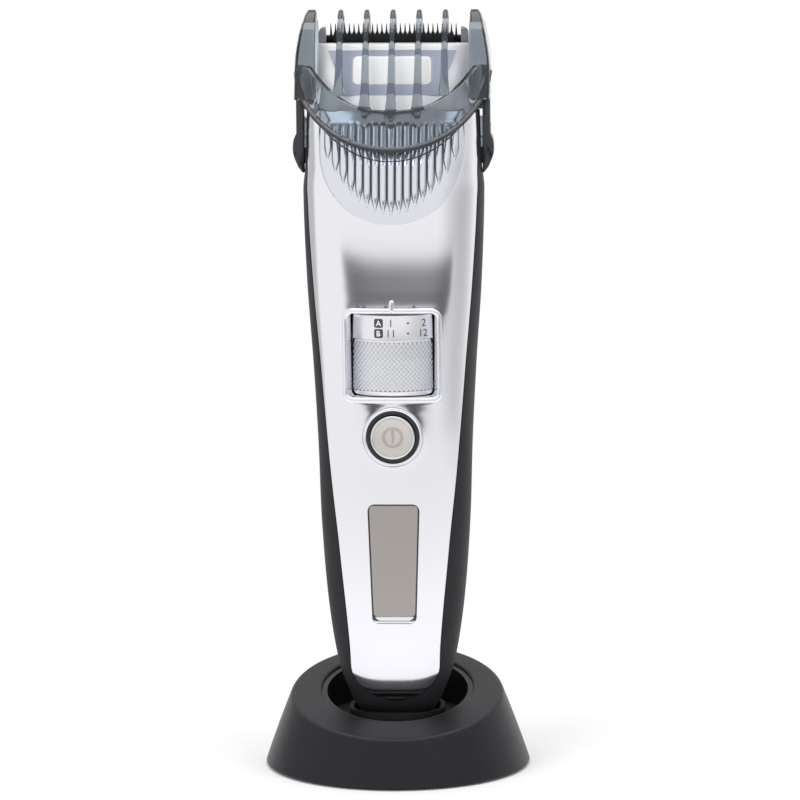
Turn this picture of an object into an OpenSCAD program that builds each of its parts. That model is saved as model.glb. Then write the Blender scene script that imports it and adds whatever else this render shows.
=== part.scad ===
// Cordless hair clipper with an adjustable comb, standing in its round charging stand.
// Origin: centre of the stand on the floor. +Z up, the dial and switch face -Y.

/* [Stand] */
// Radius of the stand at the floor
stand_r = 35; // [33:0.5:40]
// Height of the middle of the sloping rim
stand_h = 20.2; // [19:0.2:23]
// Slope of the rim from front to back, in degrees
rim_slope = 14; // [10:1:16]
// Lean of the stand's wall: loss of radius per millimetre of height
stand_lean = 0.33; // [0.25:0.01:0.38]
// Wall of the moulded stand
stand_wall = 2.2; // [1.6:0.1:2.6]
// Radius of the round hole in the rim
hole_r = 20; // [19:0.25:21]
// Wall of the cup under the hole
cup_wall = 1.4; // [1:0.1:2]
// Thickness of the base plate
plate_t = 2; // [1.4:0.1:2.6]
// Height of the cup's floor, on which the handle stands
seat_h = 13; // [12:0.25:14]
// Radius of a rubber foot
foot_r = 4; // [3:0.25:5]
// Radius of a base screw's shank
screw_r = 1.1; // [0.8:0.05:1.4]
// Radius of the socket's bore for the adaptor's plug
socket_r = 2.75; // [2:0.05:3]
// Depth of the socket's bore
socket_depth = 9; // [7:0.25:10]

/* [Handle] */
// Length of the handle's shell, from its foot to the seat of the blade block
handle_l = 159; // [152:1:168]
// Greatest width of the handle
handle_w = 46.8; // [45:0.2:48.6]
// Greatest depth of the handle
handle_d = 35; // [34:0.2:37]
// Wall of the shell
shell_wall = 2; // [1.6:0.1:2.2]
// Length of the end cap at the foot
cap_l = 5.5; // [5:0.25:6]
// Radius that rounds the panel's lower end
panel_end_r = 9; // [6:0.5:10]
// Width of the fluted cover
cover_w = 37.4; // [36:0.2:38]
// Seam between parts of the shell
seam = 0.16; // [0.1:0.01:0.25]

/* [Comb setting] */
// Radius of the setting wheel
wheel_r = 14.3; // [13.6:0.1:14.6]
// Distance of the wheel's middle below the seat of the blade block
wheel_down = 61.8; // [60:0.5:64]
// Length of the wheel
wheel_l = 21.1; // [20:0.1:21.4]
// How far the wheel stands proud of the panel
wheel_proud = 0.5; // [0.2:0.1:0.8]
// Radius of the fixed hub that the wheel turns on
hub_r = 8.4; // [7:0.1:8.8]
// Radial clearance between the hub and the wheel
hub_fit = 0.08; // [0.03:0.01:0.1]
// Radius of the cam sleeve above the wheel
sleeve_r = 11.4; // [11:0.1:11.8]
// Length of the cam sleeve
sleeve_l = 15; // [14.6:0.1:16]
// Depth of the helical groove in the sleeve
groove_d = 1.4; // [1:0.1:1.8]
// Travel of the comb over all settings
comb_travel = 9; // [7:0.5:9.5]
// Turn of the wheel over all settings, in degrees
wheel_turn = 324; // [300:2:344]
// Radius of the follower pin
follower_r = 1; // [0.8:0.05:1.2]
// Thickness of the carriage
carriage_t = 2; // [1.6:0.1:2.2]

/* [Switch and display] */
// Distance of the switch below the wheel's middle
switch_down = 21.2; // [20.5:0.1:23]
// Radius of the push button
button_r = 5.8; // [5:0.1:6.2]
// Travel of the push button
button_travel = 0.9; // [0.6:0.1:1]
// Distance of the display's middle below the switch
display_down = 33.5; // [32:0.5:36]
// Length of the display
display_l = 31.6; // [28:0.2:33]
// Width of the display at its upper end
display_w = 13.4; // [12:0.2:14]
// Width that the display loses towards its lower end
display_taper = 1.9; // [0:0.1:3]

/* [Blade block] */
// Height of the blade block above its seat
block_h = 17.3; // [16:0.1:18]
// Width of the block's edge beside the blade, at the block's seat
block_edge = 1.2; // [0.9:0.1:1.4]
// Height of the blade's tips above the block's seat
tip_over = 22.3; // [21:0.1:23]
// Lean of the blades from upright, in degrees
blade_lean = 28; // [25:0.5:30]
// Width of the fixed blade
blade_w = 38.8; // [37:0.2:39]
// Length of the fixed blade along its slope
blade_l = 23; // [20:0.5:23.4]
// Thickness of the fixed blade
fixed_t = 0.7; // [0.5:0.05:0.9]
// Thickness of the moving blade
moving_t = 0.8; // [0.6:0.05:1]
// Pitch of the teeth on both blades
tooth_pitch = 1.2; // [1:0.05:1.5]
// Plain end of the blade beside its teeth
blade_end = 2.6; // [2:0.1:3]
// Length of the fixed blade's teeth
tooth_l = 3.4; // [2.6:0.1:3.8]
// Length of the moving blade's teeth
moving_tooth_l = 1.1; // [0.8:0.1:1.6]
// How far the moving teeth stay behind the fixed ones
tooth_back = 2.2; // [1.6:0.1:2.6]
// Stroke of the moving blade to each side
stroke = 1; // [0.6:0.1:1.2]
// Radius of the drive pin
pin_r = 1.5; // [1.2:0.1:1.7]

/* [Comb] */
// Number of inner tines
tine_count = 5; // [3:2:5]
// Pitch of the tines
tine_pitch = 6.76; // [6.4:0.02:6.8]
// Thickness of a tine at its root
tine_root_t = 2.4; // [1.8:0.1:2.6]
// Thickness of a tine at its tip
tine_tip_t = 1.3; // [1:0.1:1.8]
// Height of the tines' tips above the blade's tips
tine_over = 3.6; // [3.2:0.1:5]
// Wall of the comb's band and legs
comb_wall = 1.7; // [1.3:0.1:2.1]
// Clearance between the comb and the head
comb_gap = 0.65; // [0.5:0.05:0.9]

/* [Hidden] */
$fn = 48;

big = 100;                      // reach of a cutting block
touch = 0.01;                   // lets cuts run past a face
clear = 0.3;                    // gap between parts that move past each other
fit = 0.05;                     // gap round a part that is set into another
black = [0.27, 0.26, 0.27];
dark = [0.17, 0.17, 0.19];
silver = [0.87, 0.88, 0.9];
smoke = [0.55, 0.62, 0.68, 0.6];

// ---- form of the handle ----
foot_z = seat_h;
top_z = foot_z + handle_l;
half_w = handle_w / 2;
half_d = handle_d / 2;
front_n = 3;                    // squareness of the front half of a section
rear_n = 2.5;                   // squareness of the rear half
// Each row is [share of the handle's length, share of the greatest half size]
width_line = [[0, 0.42], [0.04, 0.525], [0.088, 0.645], [0.189, 0.756], [0.327, 0.829],
              [0.459, 0.859], [0.591, 0.906], [0.723, 0.966], [0.874, 1], [0.912, 0.975],
              [1, 0.955]];
front_line = [[0, 0.5], [0.044, 0.66], [0.1, 0.76], [0.19, 0.82], [0.33, 0.88],
              [0.46, 0.925], [0.59, 0.965], [0.72, 0.994], [0.83, 0.989], [0.912, 0.91],
              [1, 0.68]];
rear_line = [[0, 0.48], [0.044, 0.63], [0.107, 0.76], [0.233, 0.855], [0.42, 0.868],
             [0.58, 0.868], [0.7, 0.925], [0.83, 0.983], [0.912, 0.948], [1, 0.81]];
panel_line = [[0.036, 0.85], [0.132, 0.722], [0.296, 0.75], [0.44, 0.835], [0.547, 0.872],
              [0.736, 0.908], [0.9, 0.955], [1, 0.953]];

function slope(t, i) = i == 0 ? (t[1][1] - t[0][1]) / (t[1][0] - t[0][0])
    : i == len(t) - 1 ? (t[i][1] - t[i - 1][1]) / (t[i][0] - t[i - 1][0])
    : (t[i + 1][1] - t[i - 1][1]) / (t[i + 1][0] - t[i - 1][0]);
function span(t, x, i = 0) = i >= len(t) - 2 || x < t[i + 1][0] ? i : span(t, x, i + 1);
// Smooth curve through the rows of a line
function curve(t, x) = let (
    i = span(t, x), h = t[i + 1][0] - t[i][0], s = min(1, max(0, (x - t[i][0]) / h)),
    r = 1 - s)
    t[i][1] * (1 + 2 * s) * r * r + h * slope(t, i) * s * r * r
    + t[i + 1][1] * s * s * (3 - 2 * s) - h * slope(t, i + 1) * s * s * r;
function share(z) = (z - foot_z) / handle_l;
function wide(z) = half_w * curve(width_line, share(z));
function front(z) = half_d * curve(front_line, share(z));
function rear(z) = half_d * curve(rear_line, share(z));
function spow(v, p) = sign(v) * pow(abs(v), p);

panel_z = foot_z + cap_l + 0.6;
panel_tip = 1.2;                // half width of the flat at the panel's lower end
// Half width of the panel, or of its opening when grown by a seam
function panel_half(z, grow = 0) = let (
    r = panel_end_r + grow, d = min(r, max(0, panel_z + panel_end_r - z)))
    max(panel_tip, wide(z) * curve(panel_line, share(z)) + grow - r + sqrt(r * r - d * d));

// Point of a section: a runs from 0 at the front over 90 at the right to 180 at the rear
function skin(z, a, inset) = let (n = cos(a) > 0 ? front_n : rear_n)
    [(wide(z) - inset) * spow(sin(a), 2 / n),
     -((cos(a) > 0 ? front(z) : rear(z)) - inset) * spow(cos(a), 2 / n)];
// Angle at which the front of a section is x wide
function edge_angle(z, x) = asin(min(1, pow(x / wide(z), front_n / 2)));
function front_y(z, x, inset) = -(front(z) - inset)
    * pow(max(0, 1 - pow(abs(x) / (wide(z) - inset), front_n)), 1 / front_n);
function slope_angle(z) = atan((front(z + 1) - front(z - 1)) / 2);

// Solid through closed rings of points, bottom ring first, each counterclockwise from above
module loft(rings) {
    n = len(rings[0]);
    m = len(rings);
    polyhedron(
        points = [for (r = rings) each r],
        faces = concat(
            [for (i = [0:m - 2], j = [0:n - 1]) let (k = (j + 1) % n)
                each [[i * n + j, (i + 1) * n + j, (i + 1) * n + k],
                      [i * n + j, (i + 1) * n + k, i * n + k]]],
            [[for (j = [0:n - 1]) j]],
            [[for (j = [n - 1:-1:0]) (m - 1) * n + j]]));
}
function at_z(points, z) = [for (p = points) [p.x, p.y, z]];
// Heights from low to high, closer together at the low end
function heights(low, high, n) = [for (i = [0:n]) low + (high - low) * pow(i / n, 1.25)];
// Heights of the shell's sections: close together round the panel's lower end, then even
shell_zs = concat([for (i = [0:4]) panel_z + panel_end_r * (1 - cos(18 * i))],
    [for (i = [0:18]) panel_z + panel_end_r + (top_z - panel_z - panel_end_r) * i / 18]);
function section(z, inset, n = 28) = [for (i = [0:n - 1]) skin(z, i * 360 / n, inset)];
module handle_form(low, high, inset, steps) {
    loft([for (z = heights(low, high, steps)) at_z(section(z, inset), z)]);
}
// Places children on the panel's face at height z, with x across, y up and z outwards
module on_face(z) {
    translate([0, -front(z), z]) rotate([90 + slope_angle(z), 0, 0]) children();
}
module rounded(w, h, r) {
    offset(r) square([w - 2 * r, h - 2 * r], center = true);
}
module tapered(top, bottom, h, r) {
    offset(r) polygon([[-bottom / 2 + r, -h / 2 + r], [bottom / 2 - r, -h / 2 + r],
                       [top / 2 - r, h / 2 - r], [-top / 2 + r, h / 2 - r]]);
}
module ring(outer, inner, low, high) {
    rotate_extrude() translate([inner, low]) square([outer - inner, high - low]);
}
module box(low, high) {
    translate(low) cube(high - low);
}
module both_sides() {
    children();
    mirror([1, 0, 0]) children();
}
// Turned plane across y and z, extruded along x from x0 to x1
module side_profile(points, x0, x1) {
    translate([x0, 0, 0]) rotate([90, 0, 90]) linear_extrude(x1 - x0) polygon(points);
}

// ---- stand ----
stand_bow = 0.0018;             // roundness of the stand's wall
foot_h = 0.6;                   // clear height under the shell
plate_z = foot_h + 0.2;
plate_top = plate_z + plate_t;
cup_r = hole_r - fit;
cup_floor = 2.4;
cradle_h = 2.4;                 // height of the cradle round the handle's foot
cup_post_r = 1.6;
cup_low = 0.8;                  // how far the cup's edge lies under the rim
boss_ring = 26;                 // radius of the circle of screw bosses
boss_wall = 1.8;                // wall of a screw boss
screw_l = 7.5;                  // length of a base screw
screw_head_r = 2.2 * screw_r;
screw_head_t = 1;
foot_ring = 25;
foot_depth = 0.8;               // depth to which a foot is let into the plate
contact_r = 1.1;
contact_x = 3.2;
contact_gap = 0.4;                      // how far a contact stands above the cup's floor
board_z = plate_top + 3;        // underside of the stand's circuit board
board_t = 1.6;
stand_board = [24, 16, board_t];
stand_post_x = 9;
stand_post_r = 1.4;
socket_w = 11;
socket_h = 7.6;
socket_face = stand_rad(plate_top + socket_h) - 0.2;
socket_l = 12;
socket_z = plate_top + socket_h / 2;
socket_disc_r = 2;
socket_disc_t = 1;
function stand_rad(z) = stand_r - stand_lean * z - stand_bow * z * z;

module above_rim(h) {
    translate([0, 0, h]) rotate([rim_slope, 0, 0])
        translate([-big, -big, 0]) cube([2 * big, 2 * big, big]);
}
module stand_form(low, inset, h) {
    top = stand_h + 12;
    difference() {
        rotate_extrude($fn = 96) polygon(concat([[0, low]],
            [for (i = [0:8]) let (z = low + (top - low) * i / 8) [stand_rad(z) - inset, z]],
            [[0, top]]));
        above_rim(h);
    }
}
module at_bosses() {
    for (a = [45:90:315]) rotate(a) translate([boss_ring, 0, 0]) children();
}
module stand_shell() {
    color(dark) difference() {
        union() {
            difference() {
                stand_form(foot_h, 0, stand_h);
                stand_form(foot_h - 1, stand_wall, stand_h - stand_wall);
            }
            intersection() {
                stand_form(foot_h, stand_wall / 2, stand_h - stand_wall / 2);
                at_bosses() translate([0, 0, plate_top])
                    cylinder(r = screw_r + boss_wall, h = stand_h);
            }
        }
        cylinder(r = hole_r, h = big, $fn = 96);
        at_bosses() translate([0, 0, plate_top - 1]) cylinder(r = screw_r - 0.1, h = screw_l + 1);
        box([-socket_w / 2 - fit, socket_face - socket_l, plate_top],
            [socket_w / 2 + fit, stand_r + 1, plate_top + socket_h + fit]);
    }
}
module stand_cup() {
    color(dark) difference() {
        union() {
            difference() {
                translate([0, 0, seat_h - cup_floor])
                    cylinder(r = cup_r, h = stand_h, $fn = 96);
                translate([0, 0, seat_h]) cylinder(r = cup_r - cup_wall, h = big, $fn = 96);
                above_rim(stand_h - cup_low);
            }
            // posts that stand on the base plate
            for (a = [60:60:300]) rotate(a + 90) translate([cup_r - 3, 0, plate_top])
                cylinder(r = cup_post_r, h = seat_h - cup_floor / 2 - plate_top);
            // cradle round the handle's foot
            translate([0, 0, seat_h - touch]) linear_extrude(cradle_h) difference() {
                polygon(section(seat_h + 3, -1.6));
                polygon(section(seat_h + 3, -0.4));
            }
        }
        for (x = [-contact_x, contact_x]) translate([x, 0, 0])
            cylinder(r = contact_r + fit, h = big);
    }
}
module stand_base_plate() {
    color(dark) difference() {
        translate([0, 0, plate_z])
            cylinder(r = stand_rad(plate_top) - stand_wall - seam, h = plate_t, $fn = 96);
        at_bosses() translate([0, 0, -1]) cylinder(r = screw_r, h = 9);
        at_bosses() translate([0, 0, -1])
            cylinder(r = screw_head_r, h = 1 + plate_z + screw_head_t);
        for (a = [0:90:270]) rotate(a) translate([foot_ring, 0, -1])
            cylinder(r = foot_r, h = 1 + plate_z + foot_depth);
    }
}
module stand_feet() {
    color("dimgray") for (a = [0:90:270]) rotate(a) translate([foot_ring, 0, 0])
        cylinder(r = foot_r - fit, h = plate_z + foot_depth);
}
module stand_screws() {
    color("silver") at_bosses() {
        translate([0, 0, plate_z]) cylinder(r = screw_head_r - fit, h = screw_head_t);
        translate([0, 0, plate_z]) cylinder(r = screw_r - 0.1, h = screw_l);
    }
}
module stand_contacts() {
    color("gold") for (x = [-contact_x, contact_x]) translate([x, 0, board_z + board_t])
        cylinder(r = contact_r, h = seat_h + contact_gap - board_z - board_t);
}
module stand_circuit() {
    color("darkgreen") difference() {
        union() {
            translate([0, 0, board_z + board_t / 2]) cube(stand_board, center = true);
            for (x = [-stand_post_x, stand_post_x]) translate([x, 0, plate_top])
                cylinder(r = stand_post_r, h = board_z - plate_top + touch);
        }
        translate([0, 0, board_z - 1]) cylinder(r = 1, h = board_t + 2);
    }
}
module stand_socket() {
    color(black) difference() {
        box([-socket_w / 2, socket_face - socket_l, plate_top],
            [socket_w / 2, socket_face, plate_top + socket_h]);
        translate([0, socket_face + 1, socket_z]) rotate([90, 0, 0])
            cylinder(r = socket_r, h = socket_depth + 1);
        translate([0, socket_face - socket_depth + 1, socket_z]) rotate([90, 0, 0])
            cylinder(r = socket_disc_r, h = socket_disc_t + 1);
    }
}
module stand_socket_contact() {
    color("gold") translate([0, socket_face - socket_depth, socket_z]) rotate([90, 0, 0])
        cylinder(r = socket_disc_r, h = socket_disc_t);
}

// ---- handle shell ----
cover_half = cover_w / 2;
cover_low = top_z - 28;                 // lowest point of the fluted cover
cover_rise = 19;                        // height of its rounded lower end
slot_half = 2.4;                        // half width of the slots for the comb's arms
tab_z = top_z - 13.5;                 // underside of the carriage's tabs at rest
tab_h = 4;
pin_y = -3;                             // where the drive pin stands

function u_ring(z) = let (
    a0 = edge_angle(z, panel_half(z, seam)), n = 20,
    turn = [for (i = [0:n]) a0 + (360 - 2 * a0) * i / n])
    concat([for (a = turn) skin(z, a, 0)],
           [for (i = [n:-1:0]) skin(z, turn[i], shell_wall)]);
module rear_housing() {
    color(black) difference() {
        loft([for (z = concat([foot_z + cap_l], shell_zs, [top_z + 2])) at_z(u_ring(z), z)]);
        // cuts the top level with the seat of the blade block
        translate([-big, -big, top_z]) cube(2 * big);
        // slots for the comb's arms
        both_sides() box([arm_x - carriage_t, -slot_half, tab_z - clear],
                         [half_w + 1, slot_half, top_z + 4]);
        // screws in the back
        for (z = screw_zs) translate([0, 0, z]) rotate([-90, 0, 0])
            cylinder(r = case_screw_r + 0.1, h = big);
    }
}
case_screw_r = 1.1;
screw_zs = [foot_z + 12, top_z - 14];
cap_round = 5;
module end_cap() {
    color(black) difference() {
        loft([for (i = [0:5]) let (
            z = foot_z + cap_l * i / 5,
            inset = z > foot_z + cap_round ? 0
                : cap_round - sqrt(cap_round ^ 2 - (foot_z + cap_round - z) ^ 2))
            at_z(section(z, inset * 0.8), z)]);
        for (x = [-contact_x, contact_x]) translate([x, 0, foot_z - 1])
            cylinder(r = contact_r + clear, h = 1 + contact_gap * 2);
        for (x = [-contact_x, contact_x]) translate([x, 0, foot_z])
            cylinder(r = contact_r + clear / 2, h = big);
    }
}
module charge_terminals() {
    color("gold") for (x = [-contact_x, contact_x])
        translate([x, 0, foot_z + contact_gap * 2])
            cylinder(r = contact_r + clear / 2 - fit, h = cap_l - contact_gap * 2);
}
function panel_ring(z, n = 12) = let (
    p = panel_half(z), w = wide(z), k = (w - shell_wall) / w,
    xs = [for (i = [0:n]) -p * cos(180 * i / n)])
    concat([for (x = xs) [x, front_y(z, x, 0)]],
           [for (i = [n:-1:0]) [xs[i] * k, front_y(z, xs[i] * k, shell_wall)]]);
module front_panel() {
    color(silver) difference() {
        loft([for (z = shell_zs) at_z(panel_ring(z), z)]);
        rotate([90, 0, 0]) linear_extrude(big) cover_outline(0);
        on_face(wheel_z) translate([0, 0, -9]) linear_extrude(12)
            rounded(dial_w, dial_h, 2.2);
        on_face(display_z) translate([0, 0, -6]) linear_extrude(8) display_outline(0);
        on_face(switch_z) translate([0, 0, -6]) cylinder(r = ring_r, h = 8);
    }
}
// Outline of the fluted cover, seen from the front
module cover_outline(gap) {
    rise_z = cover_low + cover_rise;
    polygon(concat(
        [for (i = [0:20]) let (a = 180 + 9 * i)
            [(cover_half - gap) * cos(a), rise_z + (cover_rise - gap) * sin(a)]],
        [[cover_half - gap, top_z + 1], [-cover_half + gap, top_z + 1]]));
}
flute_pitch = 2.04;
flute_count = 17;
flute_w = 1.7;
flute_crest = 0.6;                      // width of a flute's crest
flute_h = 0.8;
flute_end = 1.8;                        // length over which a flute rises from its point
flute_low = cover_low + 3.2;            // lower end of the middle flute
flute_rise = 0.0475;                    // how fast the lower ends rise to the sides
cover_sink = 0.4;                       // how far the cover lies under the panel
module cover_sheet() {
    low = cover_low - 1.2;
    half = cover_half + 0.5;
    loft([for (i = [0:12]) let (z = low + (top_z - low) * i / 12)
        at_z(concat(
            [for (k = [-8:8]) let (x = half * k / 8) [x, front_y(z, x, cover_sink)]],
            [for (k = [8:-1:-8]) let (x = half * k / 8)
                [x, front_y(z, x, shell_wall + cover_sink)]]), z)]);
}
// One flute: it starts in a point on the cover and runs up to the blade block
module flute(x) {
    low = flute_low + flute_rise * x * x;
    high = top_z - 0.3;
    loft([for (i = [0:6]) let (
        z = i == 0 ? low : low + flute_end + (high - low - flute_end) * (i - 1) / 5,
        r = i == 0 ? 0.25 : 1,
        base = front_y(z, x, cover_sink + 0.5),
        crest = front_y(z, x, cover_sink) - (i == 0 ? -0.1 : flute_h))
        at_z([[x - r * flute_w / 2, base], [x - r * flute_crest / 2, crest],
              [x + r * flute_crest / 2, crest], [x + r * flute_w / 2, base]], z)]);
}
module fluted_cover() {
    color(silver) union() {
        intersection() {
            cover_sheet();
            rotate([90, 0, 0]) linear_extrude(big) cover_outline(fit);
        }
        for (i = [0:flute_count - 1]) flute((i - (flute_count - 1) / 2) * flute_pitch);
    }
}
module housing_screws() {
    color("silver") for (z = screw_zs) translate([0, rear(z) - shell_wall - 4, z])
        rotate([-90, 0, 0]) cylinder(r = case_screw_r, h = 4 + shell_wall - 0.4);
}

// ---- inside the handle ----
frame_gap = 0.4;
frame_face = -4.6;                      // front face of the inner frame
battery_r = 7.1;
battery_l = 50;
battery_y = 3;
battery_z = foot_z + 16;
board_y = frame_face - board_t;
wheel_z = top_z - wheel_down;
wheel_y = -front(wheel_z) - wheel_proud + wheel_r;
wheel_low = wheel_z - wheel_l / 2;
wheel_top = wheel_z + wheel_l / 2;
sleeve_top = wheel_top + sleeve_l;
follower_z = wheel_top + 3;             // height of the follower pin at the shortest setting
flange_t = 2;
head_z = top_z - 18;                    // underside of the head frame
motor_h = 15;
motor_z = head_z - motor_h;
head_t = 3;

module inner_frame() {
    color("gray") difference() {
        handle_form(foot_z + cap_l, wheel_low - flange_t - clear, shell_wall + frame_gap, 9);
        box([-big, -big, 0], [big, frame_face, big * 2]);
        translate([0, battery_y, battery_z]) cylinder(r = battery_r + fit, h = battery_l + 2);
        box([-battery_r - fit, frame_face - 1, battery_z],
            [battery_r + fit, battery_y, battery_z + battery_l + 2]);
        translate([0, 0, screw_zs[0]]) rotate([-90, 0, 0])
            cylinder(r = case_screw_r, h = big);
    }
}
module battery() {
    color("forestgreen") translate([0, battery_y, battery_z + 1]) {
        cylinder(r = battery_r, h = battery_l - 1.5);
        cylinder(r = 2.5, h = battery_l);
    }
}
module battery_tabs() {
    color("silver") for (z = [battery_z, battery_z + battery_l + 1])
        translate([0, battery_y, z + 0.5]) cube([8, 8, 1], center = true);
}
module circuit_board() {
    color("darkgreen") box([-8, board_y, foot_z + 14],
        [8, frame_face, wheel_low - flange_t - 2]);
}
tact_l = 3.6;
module tact_switch() {
    color("dimgray") {
        box([-3, board_y - tact_l, switch_z - 3], [3, board_y, switch_z + 3]);
        translate([0, board_y - tact_l + touch, switch_z]) rotate([90, 0, 0])
            cylinder(r = 1.5, h = 0.8);
    }
}
module status_lamps() {
    color("white") for (d = [-10, 0, 10]) translate([0, board_y - 0.5, display_z + d])
        cube([3, 1, 1.6], center = true);
}
module dial_hub() {
    color("gray") translate([0, wheel_y, 0]) {
        ring(hub_r + 2, hub_r - 2, wheel_low - flange_t, wheel_low);
        ring(hub_r, hub_r - 2, wheel_low - flange_t, motor_z);
    }
}
motor_w = 30;
motor_front = pin_y - 7.5;
motor_rear = pin_y + 7.5;
coil_t = 3;
armature_w = 16;
armature_l = 8;
armature_z = motor_z + 3;
armature_gap = 0.35;
module motor_frame() {
    color("dimgray") difference() {
        box([-motor_w / 2, motor_front, motor_z], [motor_w / 2, motor_rear, head_z]);
        box([-motor_w / 2 + 1.5, motor_front + 1.5, motor_z + 2],
            [motor_w / 2 - 1.5, motor_rear - 1.5, head_z + 1]);
    }
}
module motor_coil() {
    color("peru") for (y = [motor_front + 1.5, motor_rear - 1.5 - coil_t])
        box([-6, y, motor_z + 2], [6, y + coil_t, motor_z + 12]);
}
module motor_springs() {
    color("silver") both_sides()
        box([armature_w / 2 + stroke + armature_gap, pin_y - 1, armature_z],
            [motor_w / 2 - 1.5, pin_y + 1, armature_z + 5]);
}
module motor_armature() {
    side = motor_rear - 1.5 - coil_t - armature_gap - pin_y;
    color("slategray") box([-armature_w / 2, pin_y - side, armature_z],
        [armature_w / 2, pin_y + side, armature_z + armature_l]);
}
module drive_pin() {
    color("silver") translate([0, pin_y, armature_z + armature_l])
        cylinder(r = pin_r, h = pin_top - armature_z - armature_l);
}
pin_top = top_z + 4.5;
arm_x = wide(wheel_top + 1.2) - shell_wall - 0.6;  // outer face of the carriage's arms
arm_half = 4;
tower_w = 26;                           // block on the head frame that carries the blade block
tower_front = -8;
tower_rear = 9.6;
seal_half = 6;                          // half width of the seal round the drive pin
seal_depth = 4;
seal_t = 2;
module head_frame() {
    color("gray") difference() {
        union() {
            translate([0, 0, head_z]) linear_extrude(head_t)
                polygon(section(head_z + head_t + 1, shell_wall + frame_gap + 0.5));
            box([-tower_w / 2, tower_front, head_z + head_t - touch],
                [tower_w / 2, tower_rear, top_z]);
        }
        both_sides() box([arm_x - carriage_t - clear, -arm_half - clear, head_z - 1],
                         [big, arm_half + clear, head_z + head_t + 1]);
        box([-pin_r - stroke - clear, pin_y - pin_r - clear, head_z - 1],
            [pin_r + stroke + clear, pin_y + pin_r + clear, top_z + 1]);
        box([-seal_half, pin_y - seal_depth, top_z - seal_t - 0.5],
            [seal_half, pin_y + seal_depth, top_z + 1]);
        translate([0, 0, screw_zs[1]]) rotate([-90, 0, 0]) cylinder(r = case_screw_r, h = big);
    }
}
module head_seal() {
    color(black) difference() {
        box([-seal_half + fit, pin_y - seal_depth + fit, top_z - seal_t - 0.5],
            [seal_half - fit, pin_y + seal_depth - fit, top_z - 0.5]);
        box([-pin_r - stroke - clear, pin_y - pin_r - clear, top_z - 3],
            [pin_r + stroke + clear, pin_y + pin_r + clear, top_z]);
    }
}

// ---- dial, frame, switch and display ----
dial_w = 25.7;
dial_h = wheel_l + 3.7;
dial_rim = 1.25;
dial_frame_proud = 0.5;
module dial_frame() {
    color("silver") intersection() {
        on_face(wheel_z) {
            translate([0, 0, -shell_wall]) linear_extrude(10) difference() {
                rounded(dial_w - 2 * fit, dial_h - 2 * fit, 2.2);
                rounded(dial_w - 2 * dial_rim, wheel_l + 0.6, 1.2);
            }
            // cheeks beside the wheel
            both_sides() box([dial_w / 2 - dial_rim, -wheel_l / 2 + 0.5, -4.6],
                             [dial_w / 2 - fit, wheel_l / 2 - 0.5, 1 - shell_wall]);
        }
        handle_form(wheel_z - dial_h, wheel_z + dial_h, -dial_frame_proud, 5);
    }
}
module dial_wheel() {
    groove = 0.5;
    color("lightgray") translate([0, wheel_y, wheel_low + clear / 2])
        rotate_extrude($fn = 96) difference() {
            translate([hub_r + hub_fit, 0]) square([wheel_r - hub_r - hub_fit, wheel_l - clear / 2]);
            translate([wheel_r - groove, wheel_l * 0.66]) square([1, 0.6]);
        }
}
groove_turn = wheel_turn + 16;          // the groove runs a little past both ends
module helix_groove() {
    half = follower_r + clear;
    steps = 30;
    rings = [for (i = [0:steps]) let (
        a = 82 + groove_turn * i / steps,
        z = follower_z + comb_travel * (a - 90) / wheel_turn)
        [for (q = [[sleeve_r - groove_d, -half], [sleeve_r + 1, -half],
                   [sleeve_r + 1, half], [sleeve_r - groove_d, half]])
            [q[0] * cos(a), q[0] * sin(a), z + q[1]]]];
    loft([for (i = [steps:-1:0]) rings[i]]);
}
module cam_sleeve() {
    color("whitesmoke") translate([0, wheel_y, 0]) difference() {
        ring(sleeve_r, hub_r + hub_fit, wheel_top, sleeve_top);
        helix_groove();
    }
}
bridge_h = 8;
bridge_z = follower_z - 3;
module comb_carriage() {
    inset = shell_wall + 0.6;
    arc = [for (i = [0:16]) 62 + 236 * i / 16];
    ref = bridge_z;
    color("gray") difference() {
        union() {
            translate([0, 0, bridge_z]) linear_extrude(bridge_h)
                polygon(concat([for (a = arc) skin(ref, a, inset)],
                    [for (i = [16:-1:0]) skin(ref, arc[i], inset + carriage_t)]));
            both_sides() box([arm_x - carriage_t, -arm_half, bridge_z],
                             [arm_x, arm_half, tab_z + tab_h]);
            both_sides() box([arm_x - touch, -slot_half + clear, tab_z],
                             [tab_x, slot_half - clear, tab_z + tab_h]);
        }
        translate([0, 0, follower_z]) rotate([-90, 0, 0]) cylinder(r = follower_r, h = big);
    }
}
tab_x = half_w - 0.4;                   // reach of the carriage's tabs
module cam_follower() {
    tip = wheel_y + sleeve_r - groove_d + clear;
    color("silver") translate([0, tip, follower_z]) rotate([-90, 0, 0])
        cylinder(r = follower_r, h = rear(bridge_z) - shell_wall - 0.6 - carriage_t / 2 - tip);
}
switch_z = wheel_z - switch_down;
ring_r = button_r + 2.15;
seal_w = 1;
module button_ring() {
    color("silver") on_face(switch_z)
        ring(ring_r - fit, button_r + 0.1 + seal_w, -3, 0.7);
}
module button_seal() {
    color(dark) on_face(switch_z)
        ring(button_r + 0.1 + seal_w - fit, button_r + 0.1, -3, 0.1);
}
module power_button() {
    stem = front(switch_z) + board_y - tact_l - 0.8 - button_travel - 0.2;
    color("lightgray") on_face(switch_z) {
        difference() {
            translate([0, 0, -2.5]) cylinder(r = button_r, h = 3.4);
            translate([0, 0, 0.5]) cylinder(r = button_r - 0.5, h = 1);
        }
        translate([0, 0, -stem]) cylinder(r = 1.8, h = stem - 2.4);
    }
}
display_z = switch_z - display_down;
module display_outline(gap) {
    tapered(display_w - 2 * gap, display_w - display_taper - 2 * gap, display_l - 2 * gap, 1.2);
}
bezel_t = 0.55;
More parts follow.
